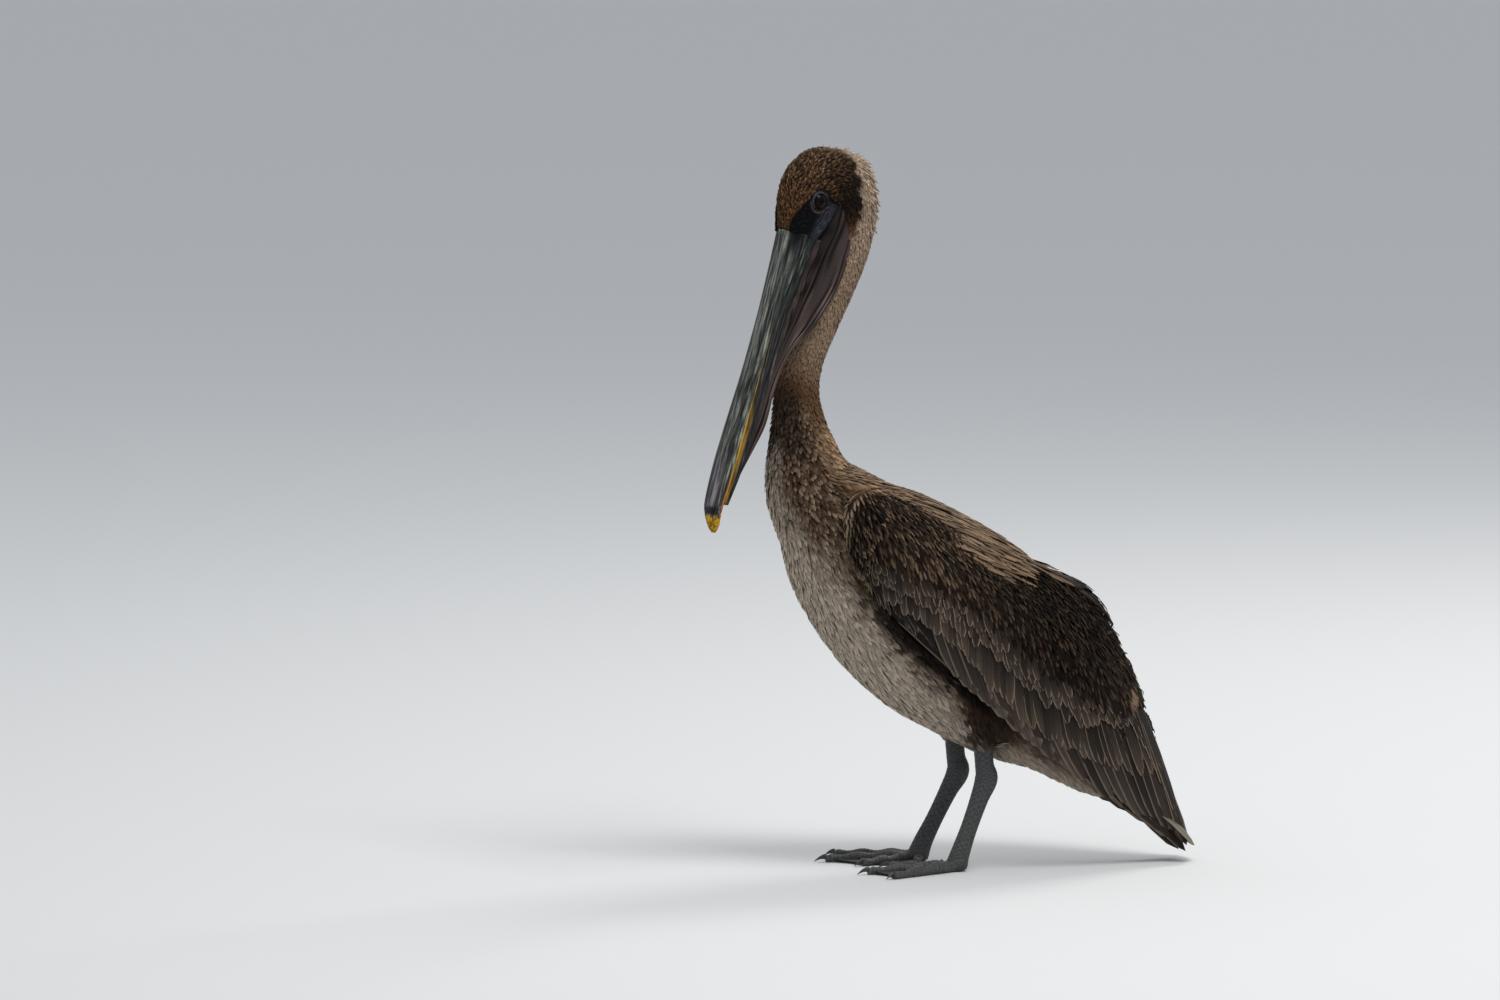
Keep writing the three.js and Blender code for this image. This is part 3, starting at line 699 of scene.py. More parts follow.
def shank_stations(side, ankle, root):
    def down(share, extra):
        return (*mix(ankle, root, share), TARSUS[0] + extra[0], TARSUS[1] + extra[1])

    return [
        (ankle[0] + 4, side * 39, 132, 10, 8), (ankle[0] + 2, side * 38.5, 106, 9.5, 7.5),
        (*ankle, 11.5, 8.5), down(0.25, (0.8, 0.6)), down(0.6, (0, 0)), down(0.88, (1, 1.5)),
        (root[0] + 2, root[1], root[2] - 7, TARSUS[0] + 2.5, TARSUS[1] + 3),
    ]


WING_LEAST = 4.0  # how thin the flesh of a wing may be


def wing_point(at, down, side, inset=0.0, inner=False):
    """A point of a folded wing's outer or inner face. down is 0 at its edge over the back, 1 at the flank."""
    top, low = wing_top(at), wing_low(at)
    swell, thick = np.moveaxis(wing_size(at), -1, 0)
    edge = np.linalg.norm(top - low, axis=-1)
    bow = np.sin(math.pi * down)
    p = mix(top, low, 0.5 + (down - 0.5) * np.clip(1 - 2 * inset / edge, 0.05, 1))
    depth = thick * (0.35 + 0.65 * bow)
    y = p[..., 1] + swell * bow - (np.maximum(depth - inset * 0.4, inset + WING_LEAST) if inner else inset)
    p[..., 1] = np.maximum(y, 0.35) * side
    return p


WING_DEPTH = 5.0


def wing_form(side):
    at = np.linspace(0.03, 0.86, 70)[:, None]
    down = np.linspace(0, 1, 22)[None, :]
    outer = wing_point(at, down, side, WING_DEPTH)
    inner = wing_point(at, down[:, ::-1], side, WING_DEPTH, inner=True)
    return closed(np.concatenate([outer, inner], 1))


# %% Melt the forms into one surface
def remeshed(points, faces, voxel, rounds):
    """The outer surface of overlapping closed forms, as points and triangles."""
    made = mesh_object("melt", points, faces)
    melt = made.modifiers.new("melt", "REMESH")
    melt.mode, melt.voxel_size = "VOXEL", voxel * MM
    soften = made.modifiers.new("soften", "SMOOTH")
    soften.factor, soften.iterations = 0.5, rounds
    done = made.evaluated_get(bpy.context.evaluated_depsgraph_get()).to_mesh()
    done.calc_loop_triangles()
    co, tri = np.empty(len(done.vertices) * 3, np.float32), np.empty(len(done.loop_triangles) * 3, np.int32)
    done.vertices.foreach_get("co", co)
    done.loop_triangles.foreach_get("vertices", tri)
    bpy.data.objects.remove(made)
    return co.reshape(-1, 3).astype(float) / MM - OFFSET, tri.reshape(-1, 3)


VOXEL, SOFTENING = 3.0, 4  # rounds of smoothing
THIGH_DEPTH = 3.5
flesh = [body_form(), skull_form_inside(), wing_form(1), wing_form(-1)]
for leg_side, ankle, root in LEGS.values():
    flesh.append(closed(limb(thigh_stations(leg_side, ankle), 30, 32, -THIGH_DEPTH)))
flesh_points, flesh_faces = remeshed(*joined(flesh), VOXEL, SOFTENING)
surface = BVHTree.FromPolygons(flesh_points.tolist(), flesh_faces.tolist())
print("the flesh has", len(flesh_faces), "faces")


# %% Ask the surface where it lies
def on_surface(p):
    """The nearest points of the flesh and its outward directions there."""
    spots, ways = np.empty_like(p), np.empty_like(p)
    find = surface.find_nearest
    for k, q in enumerate(p.tolist()):
        spots[k], ways[k] = find(q)[:2]
    return spots, ways


# %% [markdown]
# ## The bare face
# Between the bill and the crown the skin is naked: black lores, a slate cheek and a ring of lids round a
# dark eye. It lies level with the tips of the feathers round it, so it rises above the feathered skin. A
# fine net over the skull is lifted inside the border of the feathers, wrapped over the eyeball for the
# lids, and folded.

# %% The border between feathers and bare skin
# Round the left side of the head: distance along the bill's axis, and degrees from the crown.
BARE = np.array([
    (16, 20), (4.5, 24.6), (-7.9, 28.8), (-14.9, 39.7), (-24.5, 51.3), (-30.6, 56.9), (-38.9, 65),
    (-42.3, 79), (-35.5, 94), (-34, 109), (-38, 134), (-38, 158), (16, 178),
])
MM_PER_DEGREE = 0.5  # on a skull about 57 mm across
skull_shares = np.linspace(0, 1, 500)
skull_xs = skull_form(skull_shares)[:, 0]


def skull_share(x):
    return np.interp(-x, -skull_xs, skull_shares)


def bare_depth(x, degrees):
    """How far inside the bare skin a point is, in millimetres; negative among the feathers."""
    p = np.stack([x, np.abs(degrees) * MM_PER_DEGREE], -1)[:, None]
    a = BARE * (1, MM_PER_DEGREE)
    b = np.roll(a, -1, 0)
    edge = b - a
    t = np.clip(((p - a) * edge).sum(-1) / (edge**2).sum(-1), 0, 1)
    gap = np.linalg.norm(p - a - t[..., None] * edge, axis=-1).min(1)
    crosses = (a[:, 1] > p[..., 1]) != (b[:, 1] > p[..., 1])
    rise = np.where(np.abs(edge[:, 1]) < 1e-9, 1e-9, edge[:, 1])
    meets = a[:, 0] + (p[..., 1] - a[:, 1]) / rise * edge[:, 0]
    inside = (crosses & (p[..., 0] < meets)).sum(1) % 2 == 1
    return np.where(inside, gap, -gap)


# %% The face's relief
LID_OPEN = (7.4, 6.7)  # half the width and height of the eye's opening
LID_THICK = 0.9
SOCKET = 13.0  # how far from the eye's axis the lids melt into the face
EYE_AXIS = unit(np.array([0.10, 1.0, 0.06]))
# The pale blotches on the slate cheek are painted highlights that stand for the sheen of its bare skin.
SLATE, SLATE_SHEEN, LORES = linear(44, 45, 53), linear(78, 82, 92), linear(4, 5, 8)
LID_BLUE, LID_TAN = linear(58, 60, 69), linear(104, 84, 68)
LID_DARK, LID_EDGE = linear(20, 20, 23), linear(17, 17, 19)
FEATHER_EDGE = linear(20, 20, 22)  # where bare skin meets the feathers
CREASE, CHEEK_FOLD, BROW_FOLD = 0.40, 0.60, 0.42  # how high they stand
slate_sheen_blotches, cheek_waver, brow_waver = waves(35, 6), waves(33, 12), waves(34, 9)


def around_eye(p):
    """Distances from the left eye's axis, along the bill and up the head, and both as a share of the lids."""
    away = p - EYE_AT
    off = away - (away @ EYE_AXIS)[:, None] * EYE_AXIS
    share = np.hypot(off[:, 0] / LID_OPEN[0], off[:, 2] / LID_OPEN[1])
    return off[:, 0], off[:, 2], share


def face_net(side):
    """The face's points in the head's frame, triangles and colours."""
    xs = np.linspace(5.2, -46, 120)
    degrees = np.linspace(12, 160, 150)
    x, deg = (v.ravel() for v in np.meshgrid(xs, degrees, indexing="ij"))
    depth = bare_depth(x, deg)
    lift = mix(-SKULL_DEPTH - 1.2, 0.0, smooth(-0.8, 1.4, depth))
    p = skull_point(skull_share(x), np.radians(deg), 0.0)
    p[:, 0] = x
    out = unit(p - skull_point(skull_share(x), np.radians(deg), -4.0))
    fore, up, share = around_eye(p)
    reach_out = np.hypot(fore, up)
    creases = CREASE * np.sin(np.arctan2(up, fore) * 14 + reach_out * 0.5) * smooth(8, 11, reach_out)
    creases *= smooth(24, 14, reach_out)
    along_cheek = (deg - 100) * 0.9 + x * 0.35 + 2.2 * cheek_waver(p)
    folds = CHEEK_FOLD * np.sin(along_cheek) * smooth(-38, -30, x) * smooth(84, 98, deg)
    folds = folds + BROW_FOLD * np.sin(x * 0.9 + deg * 0.22 + 3 * brow_waver(p)) * smooth(86, 60, deg)
    p = p + out * (lift + (creases + folds) * smooth(0.5, 2.5, depth))[:, None]
    away = p - EYE_AT
    far = np.linalg.norm(away, axis=-1)
    lid_rings = near(1.22, 0.16, share) * 1.1 + near(1.62, 0.13, share) * 0.55
    shell = EYE_RADIUS + LID_THICK * smooth(0.93, 1.03, share) - 2.6 * smooth(1.0, 0.92, share) + lid_rings
    hold = smooth(SOCKET, 9.6, reach_out)
    p = EYE_AT + away / far[:, None] * (far + (shell - far) * hold)[:, None]
    cheek = smooth(80, 100, deg) * smooth(-40, -26, x) * smooth(150, 118, deg)
    sheen_blotch = smooth(0.3, 1.3, slate_sheen_blotches(p)) * smooth(15, 18, reach_out)
    lids = smooth(1.5, 1.25, share) * smooth(0.95, 1.0, share)
    colour = layered(
        # Painted light: the lores lighten on the crests of creases and folds as painted sheen, and the cheek
        # is painted lighter on its folds' crests and darker in their troughs as painted shade.
        LORES * (1 + 1.6 * smooth(0.1, 0.5, creases + folds))[:, None],
        (mix(SLATE * 0.45, SLATE * 1.25, smooth(-0.3, 0.4, folds)), cheek),
        # Pale blotches of painted highlight on the cheek.
        (SLATE_SHEEN, sheen_blotch * cheek * 0.5),
        (mix(LID_DARK, LID_BLUE, smooth(-5, 4, up - fore)), lids * 0.85),  # blue above, dark below
        (LID_TAN, near(1.58, 0.09, share) * smooth(1.5, 5, fore) * 0.7),  # the rim of the lower lid
        (LID_EDGE, smooth(1.08, 1.0, share)),
        (FEATHER_EDGE, smooth(-1.0, 0.4, -depth) * 0.8),
    )
    p, faces = on_side(p, net(len(xs), len(degrees), False), side)
    return from_head(p), faces, colour


# %% [markdown]
# ## The pouch
# A pelican's pouch is bare skin hung between the arms of the lower jaw. At rest it is drawn up into long
# narrow pleats that run with the bill. The plan's sections give its form, and waves across each section
# make the pleats.

# %% Pleats along the pouch
PLEATS, WRINKLES = 4.2, 17  # broad folds and fine wrinkles on each side
PLEAT_HEIGHT, WRINKLE_HEIGHT, POUCH_INSET = 0.85, 0.2, 0.9
pouch_frame = curve([(x, top, keel) for x, top, keel, _, _ in POUCH])
pouch_halves = curve([(half, keel_half) for _, _, _, half, keel_half in POUCH])
POUCH_MAUVE, POUCH_PINK, POUCH_DARK = linear(66, 57, 56), linear(128, 108, 102), linear(10, 8, 8)
pouch_streaks = waves(9, 18)


def pouch_net():
    rows, cols = 190, 80
    at = np.linspace(0, 1, rows)[:, None]
    down = np.linspace(0, 1, cols)[None, :]
    x, top, keel = np.moveaxis(pouch_frame(at), -1, 0)
    half, keel_half = np.moveaxis(pouch_halves(at), -1, 0)
    turning = np.clip((down - 1) / 0.3 + 1, 0, 1)
    out = (half + (keel_half - half) * down) * (0.3 + 0.7 * np.sqrt(1 - turning**2))
    wander = 0.30 * np.sin(x * 0.030 + down * 4) + 0.16 * np.sin(x * 0.083 + 1.3)
    broad = np.sin(TURN * (PLEATS * (down + 0.10 * np.sin(down * 8.5)) + wander * np.sin(math.pi * down)))
    fine = np.sin(TURN * (WRINKLES * down + 0.028 * x + 0.6 * wander))
    depth_here = 0.55 + 0.45 * np.sin(x * 0.019 + down * 9)
    fold = broad * depth_here + fine * 0.34
    rounded = np.sign(broad) * np.abs(broad) ** 0.6
    pleat = (rounded * PLEAT_HEIGHT * depth_here + WRINKLE_HEIGHT * fine) * np.sin(math.pi * down) ** 0.5
    out = out - POUCH_INSET + pleat
    z = top + (keel - top) * down + 0 * x
    points, faces = closed(both_sides(np.stack([x + 0 * out, out, z], -1)))
    shade = np.append(both_sides(fold + 0 * out, 1), [0, 0])
    level = np.append(both_sides(down + 0 * out, 1), [0.5, 0.5])
    along_bill, streak = points[:, 0], pouch_streaks(points * (0.25, 1, 1))
    colour = layered(
        mix(POUCH_DARK, POUCH_MAUVE, smooth(-0.9, 0.35, shade)),
        (POUCH_PINK, smooth(0.2, 1.2, streak) * smooth(-0.2, 0.8, shade) * 0.6),
        (POUCH_DARK, smooth(150, 215, along_bill) * 0.35),
    )
    under_gape = smooth(0.30, 0.12, level) * smooth(110, 50, along_bill)
    light = (0.8 + 0.25 * smooth(0, 0.5, level)) * (1 - 0.6 * under_gape)
    return from_head(points), faces, colour * light[:, None]


# %% [markdown]
# ## Legs and webbed feet
# The legs are bare, dark and covered in small scales. All four toes are joined by webs. Each toe is a row
# of swollen joints, the webs sag in fine ridges between them, and both stand on small flats at floor level.

# %% Toes, webs and shanks
TOE_JOINTS, TOE_SWELL, TOE_WRINKLE, TOE_FLAT = 3, 0.5, 0.22, 0.6
WEB_TOP, WEB_THICK, WEB_RIDGE, HEEL_RADIUS = 3.0, 1.5, 0.30, 11
SHANK_RELIEF, SCALE_ROWS = 0.030, 78  # how far scales stand out, as a share of the radius, and their rows
LEG_DARK, LEG_PALE, WEB_DARK = linear(64, 65, 66), linear(104, 104, 104), linear(46, 47, 50)


def toe_way(toe, side):
    a = math.radians(toe[0]) * side
    return np.array([math.cos(a), math.sin(a), 0])


def toe_net(toe, side, root):
    _, length, thick, thin, _ = toe
    way = toe_way(toe, side)
    across = np.cross(UP, way)
    at = np.linspace(-0.06, 1, 64)[:, None]
    wrinkle = TOE_WRINKLE * np.sin(at * length * 1.5) * smooth(0.05, 0.15, at)
    swollen = thick + (thin - thick) * at + TOE_SWELL * np.cos(at * TOE_JOINTS * TURN)
    radius = swollen * (1 - 0.25 * smooth(0.94, 1, at))
    angle = round_angles(18)[None, :]
    grow = radius + wrinkle * smooth(-0.2, 0.6, np.sin(angle)) - 0.12
    middle = np.array([root[0], root[1], 0]) + way * (at * length)[..., None]
    rings = middle + across * (grow * np.cos(angle))[..., None]
    rings[..., 2] += np.maximum(radius - TOE_FLAT + grow * np.sin(angle), 0.0)
    points, faces = closed(rings)
    tone = np.append((wrinkle + 0 * angle).ravel(), [0, 0]) / TOE_WRINKLE
    return points, faces, mix(LEG_DARK, LEG_PALE, smooth(0.1, 1.0, tone) * 0.5)


def web_net(first, second, side, root):
    """The skin between two toes, as a closed sheet."""
    ends = [toe_way(t, side) * t[1] * 0.95 for t in (first, second)]
    out = np.linspace(0.06, 1, 46)[:, None]
    over = np.linspace(0, 1, 40)[None, :]
    reach_in = out * (1 - 0.06 * np.sin(math.pi * over) * out)
    flat = mix(ends[0], ends[1], over) * reach_in[..., None] + [root[0], root[1], 0]
    sag = np.sin(math.pi * over)
    ridge = WEB_RIDGE * np.sin(over * TURN * 7 + out * 2) * sag + 0.18 * np.sin(out * 34 + over * 5) * sag
    top = WEB_TOP + 0.9 * (1 - sag) ** 2 - 0.7 * sag + ridge
    upper, under = flat.copy(), flat[:, ::-1].copy()
    upper[..., 2] = top
    under[..., 2] = (top - WEB_THICK)[:, ::-1]
    points, faces = closed(np.concatenate([upper, under], 1))
    tone = np.append(np.concatenate([ridge, ridge[:, ::-1]], 1).ravel(), [0, 0])
    return points, faces, mix(WEB_DARK * 0.8, LEG_PALE * 0.9, smooth(-0.2, 0.6, tone) * 0.6)


def heel_net(root):
    at, angle = np.meshgrid(np.linspace(0.05, math.pi - 0.05, 20), round_angles(28), indexing="ij")
    ball = np.stack([np.sin(at) * np.cos(angle), 0.9 * np.sin(at) * np.sin(angle), 0.8 * np.cos(at)], -1)
    points, faces = closed(ball * HEEL_RADIUS + [root[0] + 1, root[1], 7])
    points[:, 2] = np.maximum(points[:, 2], 0)
    return points, faces, np.tile(LEG_DARK, (len(points), 1))


def shank_net(side, ankle, root):
    rings = limb(shank_stations(side, ankle, root), 130, 40)
    rings = rings[rings[:, :, 2].mean(1) < FEATHERS_END + 4]
    rows, cols = rings.shape[:2]
    middle = rings.mean(1, keepdims=True)
    rise = np.linspace(0, 1, rows)[:, None]
    turn = round_angles(cols)[None, :]
    scale = np.abs(np.sin(rise * SCALE_ROWS + 1.57 * (np.round(turn * 2.2) % 2))) ** 0.5
    rings = middle + (rings - middle) * (1 + SHANK_RELIEF * (scale - 0.7))[..., None]
    points, faces = closed(rings)
    tone = np.append(scale.ravel(), [0.5, 0.5])
    return points, faces, mix(LEG_DARK * 0.55, LEG_DARK * 1.25, smooth(0.2, 0.95, tone))


# %% Join flesh, face, pouch, legs and feet into one skin
flesh_at = nearest_share(flesh_points)
# The skin under the feathers takes their markings, darkened as painted shade for the gaps between them.
flesh_colour = coat_colour(flesh_points, flesh_at, body_angle(flesh_points, flesh_at)) * COAT_SHADE
parts = [(flesh_points, flesh_faces, flesh_colour), face_net(1), face_net(-1), pouch_net()]
for leg_side, ankle, root in LEGS.values():
    parts.append(shank_net(leg_side, ankle, root))
    parts.append(heel_net(root))
    parts += [toe_net(toe, leg_side, root) for toe in TOES]
    parts += [web_net(a, b, leg_side, root) for a, b in zip(TOES, TOES[1:])]
FEATHERED, NAKED, SCALY = range(3)  # the skin's finishes, in the order they are given to it
kinds = [FEATHERED, NAKED, NAKED, NAKED] + [SCALY] * (len(parts) - 4)

# %% Finishes of the skin
naked_paint = Paint("bare_skin", Roughness=0.55, Specular_IOR_Level=0.06)
place = naked_paint.place()
tint = naked_paint.stored("tint")
grain = naked_paint.noise(place, 900.0, 4.0)
naked_paint.feed(Base_Color=naked_paint.shaded(tint, grain, 0.62, 1.3), Roughness=0.45 + grain * 0.3)
naked_paint.bumpy(grain, 0.0005, 0.5)

scaly_paint = Paint("scaly_skin", Specular_IOR_Level=0.4)
place = scaly_paint.place()
tint = scaly_paint.stored("tint")
to_edge = {"feature": "DISTANCE_TO_EDGE"}
scales = scaly_paint.node("ShaderNodeTexVoronoi", to_edge, {"Vector": place, "Scale": 480.0})
plates = scaly_paint.ramp(scales, 0.0, 0.16)
scaly_paint.feed(
    Base_Color=scaly_paint.mixed(plates, scaly_paint.mixed(1.0, tint, (0.45,) * 3, "MULTIPLY"), tint),
    Roughness=0.62 - plates * 0.14,
)
scaly_paint.bumpy(plates, 0.0004, 0.8)

coat_paint = Paint("skin_under_feathers", Roughness=0.9, Specular_IOR_Level=0.1)
tint = coat_paint.stored("tint")
down_noise = coat_paint.noise(coat_paint.place(), 400.0)
coat_paint.feed(Base_Color=coat_paint.shaded(tint, down_noise, 0.6, 1.3))

# %% The skin as one piece
skin_points, skin_faces = joined([part[:2] for part in parts])
skin = mesh_object("skin", skin_points, skin_faces, {"tint": np.vstack([part[2] for part in parts])})
face_kinds = np.concatenate([np.full(len(part[1]), kind) for part, kind in zip(parts, kinds)])
skin.data.polygons.foreach_set("material_index", face_kinds.astype(np.int32))
FLESH_NODES = ["trunk", "neck_lower", "neck_middle", "neck_upper", "head", "pouch"]
FLESH_NODES += [f"{name}_{side}" for side in LEGS for name in ("thigh", "shank", "foot")]
dress(skin, "plumage", FLESH_NODES, coat_paint.material, naked_paint.material, scaly_paint.material)

# %% [markdown]
# ## The bill
# The upper jaw is a long flattened trough of horn: a raised culmen down the middle, a groove each side, a
# side plate below it and a hooked nail at the end. The lower jaw is two thin arms under it. Both are lofts
# through the plan's sections. Their colours are laid out along and across the horn, as they grow, and fine
# streaks in the material run the same way.

# %% Horn colours along and across the bill
HORN_GREY, HORN_GREEN = linear(87, 90, 87), linear(46, 54, 51)
HORN_PALE, HORN_DARK = linear(134, 134, 122), linear(30, 31, 31)
YELLOW, ORANGE, OCHRE = linear(154, 117, 32), linear(168, 82, 20), linear(166, 128, 28)
MAUVE_HORN, NEAR_BLACK = linear(96, 92, 102), linear(16, 17, 19)
RIB_HEIGHT, FURROW_DEPTH = 0.10, 0.16
# Half a section of each jaw, from its top: share of the half width, and of the way down.
UPPER_SECTION = [
    (0, 0), (0.12, 0.0), (0.21, 0.04), (0.27, 0.17), (0.33, 0.28), (0.62, 0.40), (0.86, 0.60),
    (0.98, 0.80), (1, 0.93), (0.96, 1.0), (0.7, 0.99), (0.3, 0.97),
]
LOWER_SECTION = [(0.5, 0), (0.90, 0.0), (0.97, 0.06), (1, 0.3), (0.99, 0.6), (0.93, 0.9), (0.82, 1), (0.4, 1)]
upper_frame = curve([s[:1] + s[2:4] for s in BILL + NAIL])
upper_half = curve([(s[1],) for s in BILL + NAIL])
streak_fine, streak_broad = waves(21, 2.4), waves(22, 16)


def upper_colour(points, down):
    """The upper jaw's colour: down runs from 0 at the culmen's middle to 1 at the cutting edge."""
    x = points[:, 0]
    fine, broad = streak_fine(points * (0.06, 1, 1)), streak_broad(points * (0.3, 1, 1))
    culmen = smooth(0.34, 0.24, down)
    stripe_in = mix(0.97, 0.80, smooth(95, 230, x))
    stripe = smooth(stripe_in - 0.04, stripe_in + 0.01, down) * smooth(96, 125, x)
    over_stripe = smooth(0.05, 0.0, stripe_in - down - 0.05) * (1 - stripe) * smooth(90, 130, x)
    colour = layered(
        mix(HORN_GREY, HORN_GREEN, smooth(0.4, 0.6, down) * smooth(0, 30, x) * smooth(190, 90, x) * 0.8),
        (HORN_PALE, smooth(0.3, 1.1, fine) * 0.75),
        (HORN_DARK, smooth(-0.2, -1.0, fine) * 0.85),
        (HORN_GREY * 1.1, culmen * 0.45),
        (HORN_DARK, near(0.36, 0.05, down) * 0.9),  # the groove beside the culmen
        (HORN_DARK, smooth(0.6, 1.6, broad) * smooth(110, 190, x) * 0.75),
        (MAUVE_HORN, smooth(225, 265, x) * culmen * 0.7),
        (mix(YELLOW, ORANGE, smooth(250, 282, x) * smooth(0.95, 0.75, down)), stripe * 0.95),
        (HORN_DARK * 0.8, over_stripe * 0.5),
        (NEAR_BLACK, smooth(290, 294, x) * smooth(303, 298, x) * smooth(0.9, 0.5, down) * 0.8),
        (OCHRE, smooth(298, 304, x)),  # the nail
    )
    colour = colour * (1 - 0.6 * smooth(60, 10, x) * smooth(0.3, 0.5, down))[:, None]
    reach = mix(40, 14, smooth(0.35, 1, down))  # the black of the lores runs furthest along the groove
    return mix(colour, LORES, smooth(reach, reach - 26, x) * smooth(0.3, 0.44, down))


def upper_jaw():
    rows, cols = 210, 40
    at = np.linspace(0, 1, rows)
    x, culmen, edge = upper_frame(at).T[..., None]
    half = upper_half(at)
    out, down = curve(UPPER_SECTION)(np.linspace(0, 1, cols)).T
    ribbing = RIB_HEIGHT * np.sin(x * 0.9) * smooth(0.45, 0.6, down) * smooth(60, 20, x)
    side_plate = smooth(0.4, 0.5, down) * smooth(1, 0.9, down)
    furrow = FURROW_DEPTH * np.sin(down * 95 + 0.4 * np.sin(x * 0.03)) * side_plate
    z = culmen + (edge - culmen) * down + ribbing + furrow
    points, faces = closed(both_sides(np.stack([x + 0 * out, out * half, z], -1), shared=1))
    level = np.append(both_sides(down + 0 * x, 1, shared=1), [0.5, 0.9])
    beneath = np.arange(cols) > cols - 7
    under = np.append(both_sides(beneath + 0 * x, 1, shared=1), [0, 0])
    return from_head(points), faces, mix(upper_colour(points, level), HORN_DARK, under * 0.8), points


lower_frame = curve([(s[0], s[3], s[4]) for s in BILL])
lower_half = curve([(s[1],) for s in BILL])
JAW_INSET, GAP = 1.2, 0.35
JAW_GREEN, JAW_GREY, JAW_MAUVE = linear(34, 39, 38), linear(38, 36, 38), linear(62, 52, 51)


def lower_jaw():
    at = np.linspace(0, 1, 150)
    x, edge, under = lower_frame(at).T[..., None]
    half, top = lower_half(at) - JAW_INSET, edge - GAP
    out, down = curve(LOWER_SECTION)(np.linspace(0, 1, 36)).T
    grooves = -0.55 * near(0.55, 0.07, down) - 0.3 * near(0.8, 0.05, down)
    left = np.stack([x + 0 * out, out * half + grooves, top + (under - top) * down], -1)
    points, faces = closed(both_sides(left))
    level = np.append(both_sides(down + 0 * x, 1), [0.5, 0.5])
    along_bill, fine = points[:, 0], streak_fine(points * (0.05, 1.2, 1.2) + 40)
    dark_lines = near(0.55, 0.09, level) + near(0, 0.06, level)
    colour = layered(
        mix(JAW_GREEN, JAW_GREY, smooth(60, 150, along_bill)),
        (JAW_MAUVE, smooth(0.45, 0.7, level) * smooth(140, 60, along_bill)),
        (HORN_PALE, smooth(0.3, 1.5, fine) * 0.35),
        (NEAR_BLACK, np.clip(dark_lines, 0, 1) * 0.85),
        (YELLOW * 0.85, smooth(0.5, 0.2, level) * smooth(170, 215, along_bill) * 0.6),
    )
    return from_head(points), faces, colour, points


# %% A finish for horn, and the two jaws
horn_paint = Paint("horn", Specular_IOR_Level=0.12)
tint, grown = horn_paint.stored("tint"), horn_paint.stored("grown", "Vector")
fibre = horn_paint.noise(horn_paint.stretched(grown, (0.05, 1.0, 1.0)), 0.62, 8.0)
speck = horn_paint.noise(grown, 0.55, 5.0)
streaked = horn_paint.shaded(tint, horn_paint.ramp(fibre, 0.38, 0.62), 0.36, 1.45)
flaked = horn_paint.shaded(streaked, horn_paint.ramp(speck, 0.56, 0.66), 1.0, 0.66)
horn_paint.feed(Base_Color=flaked, Roughness=0.34 + fibre * 0.28)
horn_paint.bumpy(fibre, 0.0005, 0.6)

JAWS = ("upper_jaw", "bill_upper", upper_jaw), ("lower_jaw", "bill_lower", lower_jaw)
for jaw_name, node, grow in JAWS:
    points, faces, colour, grown_at = grow()
    jaw = mesh_object(jaw_name, points, faces, {"tint": colour})
    store_vectors(jaw, "grown", grown_at)
    dress(jaw, "bill", [node], horn_paint.material)

# %% [markdown]
# ## Eyes and claws
# An immature pelican's eye is dark brown round a black pupil, wet and glossy, and most of it is hidden by
# the lids. A ball of rings round the eye's own axis lets the colour run in circles from the pupil. The
# claws are short hooks of dark horn that lie on the floor.

# %% Eyes
PUPIL, IRIS = linear(2, 2, 2), linear(16, 11, 9)
eye_paint = Paint("wet_eye", Roughness=0.06, Specular_IOR_Level=0.07)
eye_paint.feed(Base_Color=eye_paint.stored("tint"))


def eyeball(side):
    from_pole, angle = np.meshgrid(np.linspace(0.01, math.pi - 0.01, 60), round_angles(48), indexing="ij")
    first = unit(np.cross(EYE_AXIS, UP))
    second = np.cross(EYE_AXIS, first)
    spoke = first * np.cos(angle)[..., None] + second * np.sin(angle)[..., None]
    ball = EYE_AXIS * np.cos(from_pole)[..., None] + spoke * np.sin(from_pole)[..., None]
    points, faces = closed(EYE_AT + ball * EYE_RADIUS)
    open_at = np.degrees(np.append(from_pole.ravel(), [0, math.pi]))
    threads = 0.75 + 0.35 * np.sin(np.append(angle.ravel(), [0, 0]) * 34) ** 2
    iris = mix(PUPIL, IRIS * threads[:, None], smooth(19, 23, open_at) * smooth(48, 40, open_at))
    points, faces = on_side(points, faces, side)
    return from_head(points), faces, iris


SIDES = {"left": 1, "right": -1}
for side_name, side in SIDES.items():
    points, faces, colour = eyeball(side)
    eye = mesh_object(f"eyeball_{side_name}", points, faces, {"tint": colour})
    dress(eye, "eye", [f"eye_{side_name}"], eye_paint.material)

# %% Claws
CLAW_ROOT, CLAW_TIP, CLAW_ARCH, CLAW_FLAT, CLAW_OVERLAP = 2.7, 0.35, 2.6, 0.7, 1.2
TOE_NAMES = ["hallux", "inner", "middle", "outer"]
claw_paint = Paint("claw_horn", Specular_IOR_Level=0.5)
rings_of_growth = claw_paint.noise(claw_paint.place(), 700.0, 4.0)
claw_paint.feed(
    Base_Color=claw_paint.mixed(rings_of_growth, linear(20, 19, 19), linear(58, 54, 50)),
    Roughness=0.3 + rings_of_growth * 0.25,
)


def claw_net(toe, side, root):
    way = toe_way(toe, side)
    across = np.cross(UP, way)
    at = np.linspace(0, 1, 16)[:, None]
    radius = CLAW_ROOT * (1 - at) + CLAW_TIP
    height = radius + 0.1 + CLAW_ARCH * np.sin(math.pi * (0.25 + 0.75 * at))
    angle = round_angles(14)[None, :]
    base = np.array([root[0], root[1], 0]) + way * (toe[1] + GAP - CLAW_OVERLAP)
    rings = base + way * (at * (toe[4] + CLAW_OVERLAP))[..., None]
    rings = rings + across * (CLAW_FLAT * radius * np.cos(angle))[..., None]
    rings[..., 2] += np.maximum(height + radius * np.sin(angle), 0)
    return closed(rings)


